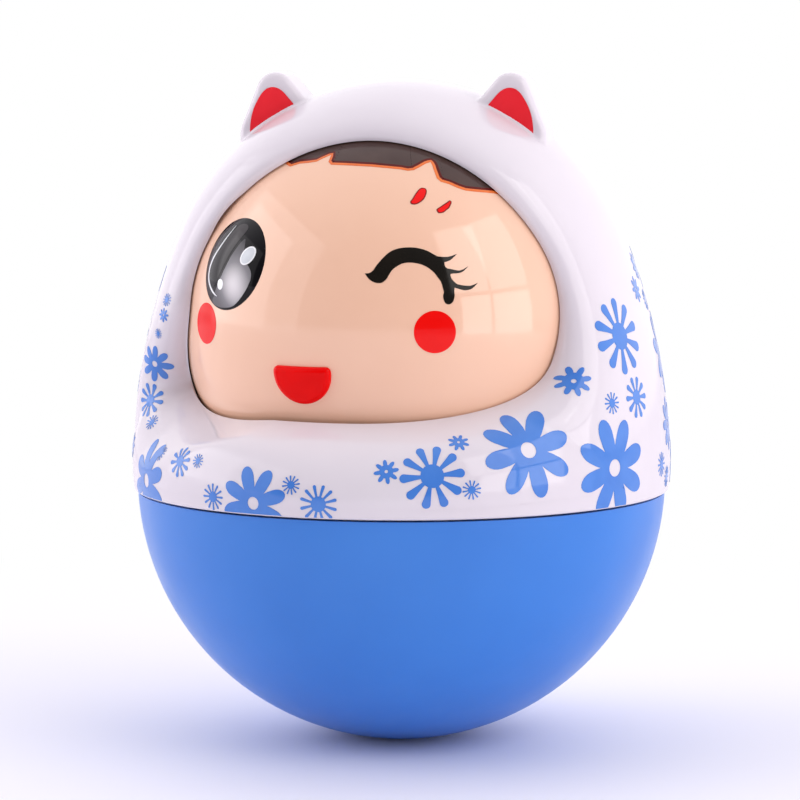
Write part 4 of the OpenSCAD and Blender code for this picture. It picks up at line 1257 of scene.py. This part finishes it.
# Window on the toy's right in four panes: name, azimuth, elevation, width, height, radiance
WINDOW_PANES = (
    ("pane_high_near", 50, 33, 0.46, 0.75, 1.9), ("pane_high_far", 73, 33, 0.5, 0.75, 1.9),
    ("pane_low_near", 52.5, 2, 0.36, 0.6, 2.5), ("pane_low_far", 73, 2, 0.5, 0.6, 2.5),
)
WINDOW_DISTANCE, WINDOW_COLOUR = 1.3, (1.0, 0.97, 0.95)

# Lights on the toy's left: name, azimuth, elevation, distance, width, height, power
LEFT_LIGHTS = (("left_wall", -72, 16, 1.3, 1.6, 1.4, 5.4), ("left_window", -80, 18, 1.25, 0.9, 0.9, 2.6))
LEFT_COLOUR = (1.0, 0.97, 0.98)


def make_floor():
    """Pale floor that keeps the toy's shadow near it and runs out to white far away, for the camera alone."""
    mesh = bpy.data.meshes.new("floor")
    corners = [(x*FLOOR_HALF, y*FLOOR_HALF, 0) for x, y in ((-1, -1), (1, -1), (1, 1), (-1, 1))]
    mesh.from_pydata(corners, [], [(0, 1, 2, 3)])
    obj = bpy.data.objects.new("floor", mesh)
    bpy.context.scene.collection.objects.link(obj)
    mat, tree, shader = node_material("floor_look")
    colour = clouded(tree, noise(tree, FLOOR_CLOUD), FLOOR_DARK, FLOOR_LIGHT)
    feed(tree, shader, {"Base Color": colour, "Roughness": FLOOR_ROUGH})
    reach = add(tree, "VectorMath", {0: add(tree, "TexCoord", {}, "Object")}, "Value", operation="LENGTH")
    far = map_range(tree, reach, FLOOR_FADE, (0.0, 1.0), "SMOOTHSTEP")
    seen = add(tree, "LightPath", {}, "Is Camera Ray")
    share = add(tree, "Math", {0: far, 1: seen}, "Value", operation="MULTIPLY")
    glow = add(tree, "Emission", {"Color": PURE_WHITE, "Strength": 1.0}, "Emission")
    mixed = add(tree, "MixShader", {"Fac": share, 1: shader.outputs["BSDF"], 2: glow}, "Shader")
    feed(tree, tree.nodes["Material Output"], {"Surface": mixed})
    mesh.materials.append(mat)


def make_world():
    """Bright room behind the toy and a dimmer one in front of it; what the camera sees of it is white."""
    world = bpy.data.worlds.new("studio")
    bpy.context.scene.world = world
    world.use_nodes = True
    tree = world.node_tree
    tree.nodes.clear()
    depth = add(tree, "SeparateXYZ", {"Vector": add(tree, "TexCoord", {}, "Generated")}, "Y")
    strength = map_range(tree, depth, ROOM_DEPTH, ROOM_STRENGTH, "SMOOTHSTEP")
    room = add(tree, "Background", {"Color": ROOM_COLOUR, "Strength": strength}, "Background")
    white = add(tree, "Background", {"Color": PURE_WHITE, "Strength": 1.0}, "Background")
    seen = add(tree, "LightPath", {}, "Is Camera Ray")
    mixed = add(tree, "MixShader", {"Fac": seen, 1: room, 2: white}, "Shader")
    feed(tree, tree.nodes.new("ShaderNodeOutputWorld"), {"Surface": mixed})


def aim(obj, target):
    """Turns a light or camera to look at a place."""
    obj.rotation_euler = (target - obj.location).to_track_quat("-Z", "Y").to_euler()


def area_light(name, az_deg, el_deg, distance, width, height, power, colour):
    """Soft rectangular light at a direction from the toy's middle."""
    light = bpy.data.lights.new(name, "AREA")
    light.shape = "RECTANGLE"
    light.size, light.size_y = width, height
    light.energy = power
    light.color = colour
    obj = bpy.data.objects.new(name, light)
    bpy.context.scene.collection.objects.link(obj)
    obj.location = LIGHT_TARGET + Vector(on_ball(az_deg, el_deg))*distance
    aim(obj, LIGHT_TARGET)


def make_studio():
    """Floor, room and lights."""
    make_floor()
    make_world()
    for name, az, el, width, height, radiance in WINDOW_PANES:
        power = radiance*math.pi*width*height
        area_light(name, az, el, WINDOW_DISTANCE, width, height, power, WINDOW_COLOUR)
    for row in LEFT_LIGHTS:
        area_light(*row, LEFT_COLOUR)


# Camera: on the toy's right, slightly above, with the frame moved up as in the photograph
CAMERA_AZ, CAMERA_EL, CAMERA_DISTANCE = 13.5, 7.0, 700.0
PIXELS_PER_MM, FRAME_PX, SENSOR = 5.105, 800, 36.0
SEAM_PX = (401.5, 487.0)


def make_camera():
    """The photograph's view, aimed at the middle of the seam and shifted to where the photograph has it."""
    data = bpy.data.cameras.new("camera")
    obj = bpy.data.objects.new("camera", data)
    bpy.context.scene.collection.objects.link(obj)
    target = np.array([0, 0, SEAM_Z])
    obj.location = Vector((target + on_ball(CAMERA_AZ, CAMERA_EL)*CAMERA_DISTANCE)*MM)
    aim(obj, Vector(target*MM))
    data.sensor_width = SENSOR
    data.lens = PIXELS_PER_MM*CAMERA_DISTANCE*SENSOR/FRAME_PX
    data.shift_x = (FRAME_PX/2 - SEAM_PX[0])/FRAME_PX
    data.shift_y = (SEAM_PX[1] - FRAME_PX/2)/FRAME_PX
    data.dof.use_dof = False
    bpy.context.scene.camera = obj


make_camera()
make_object()
make_studio()
bpy.context.scene.view_settings.view_transform = "Standard"
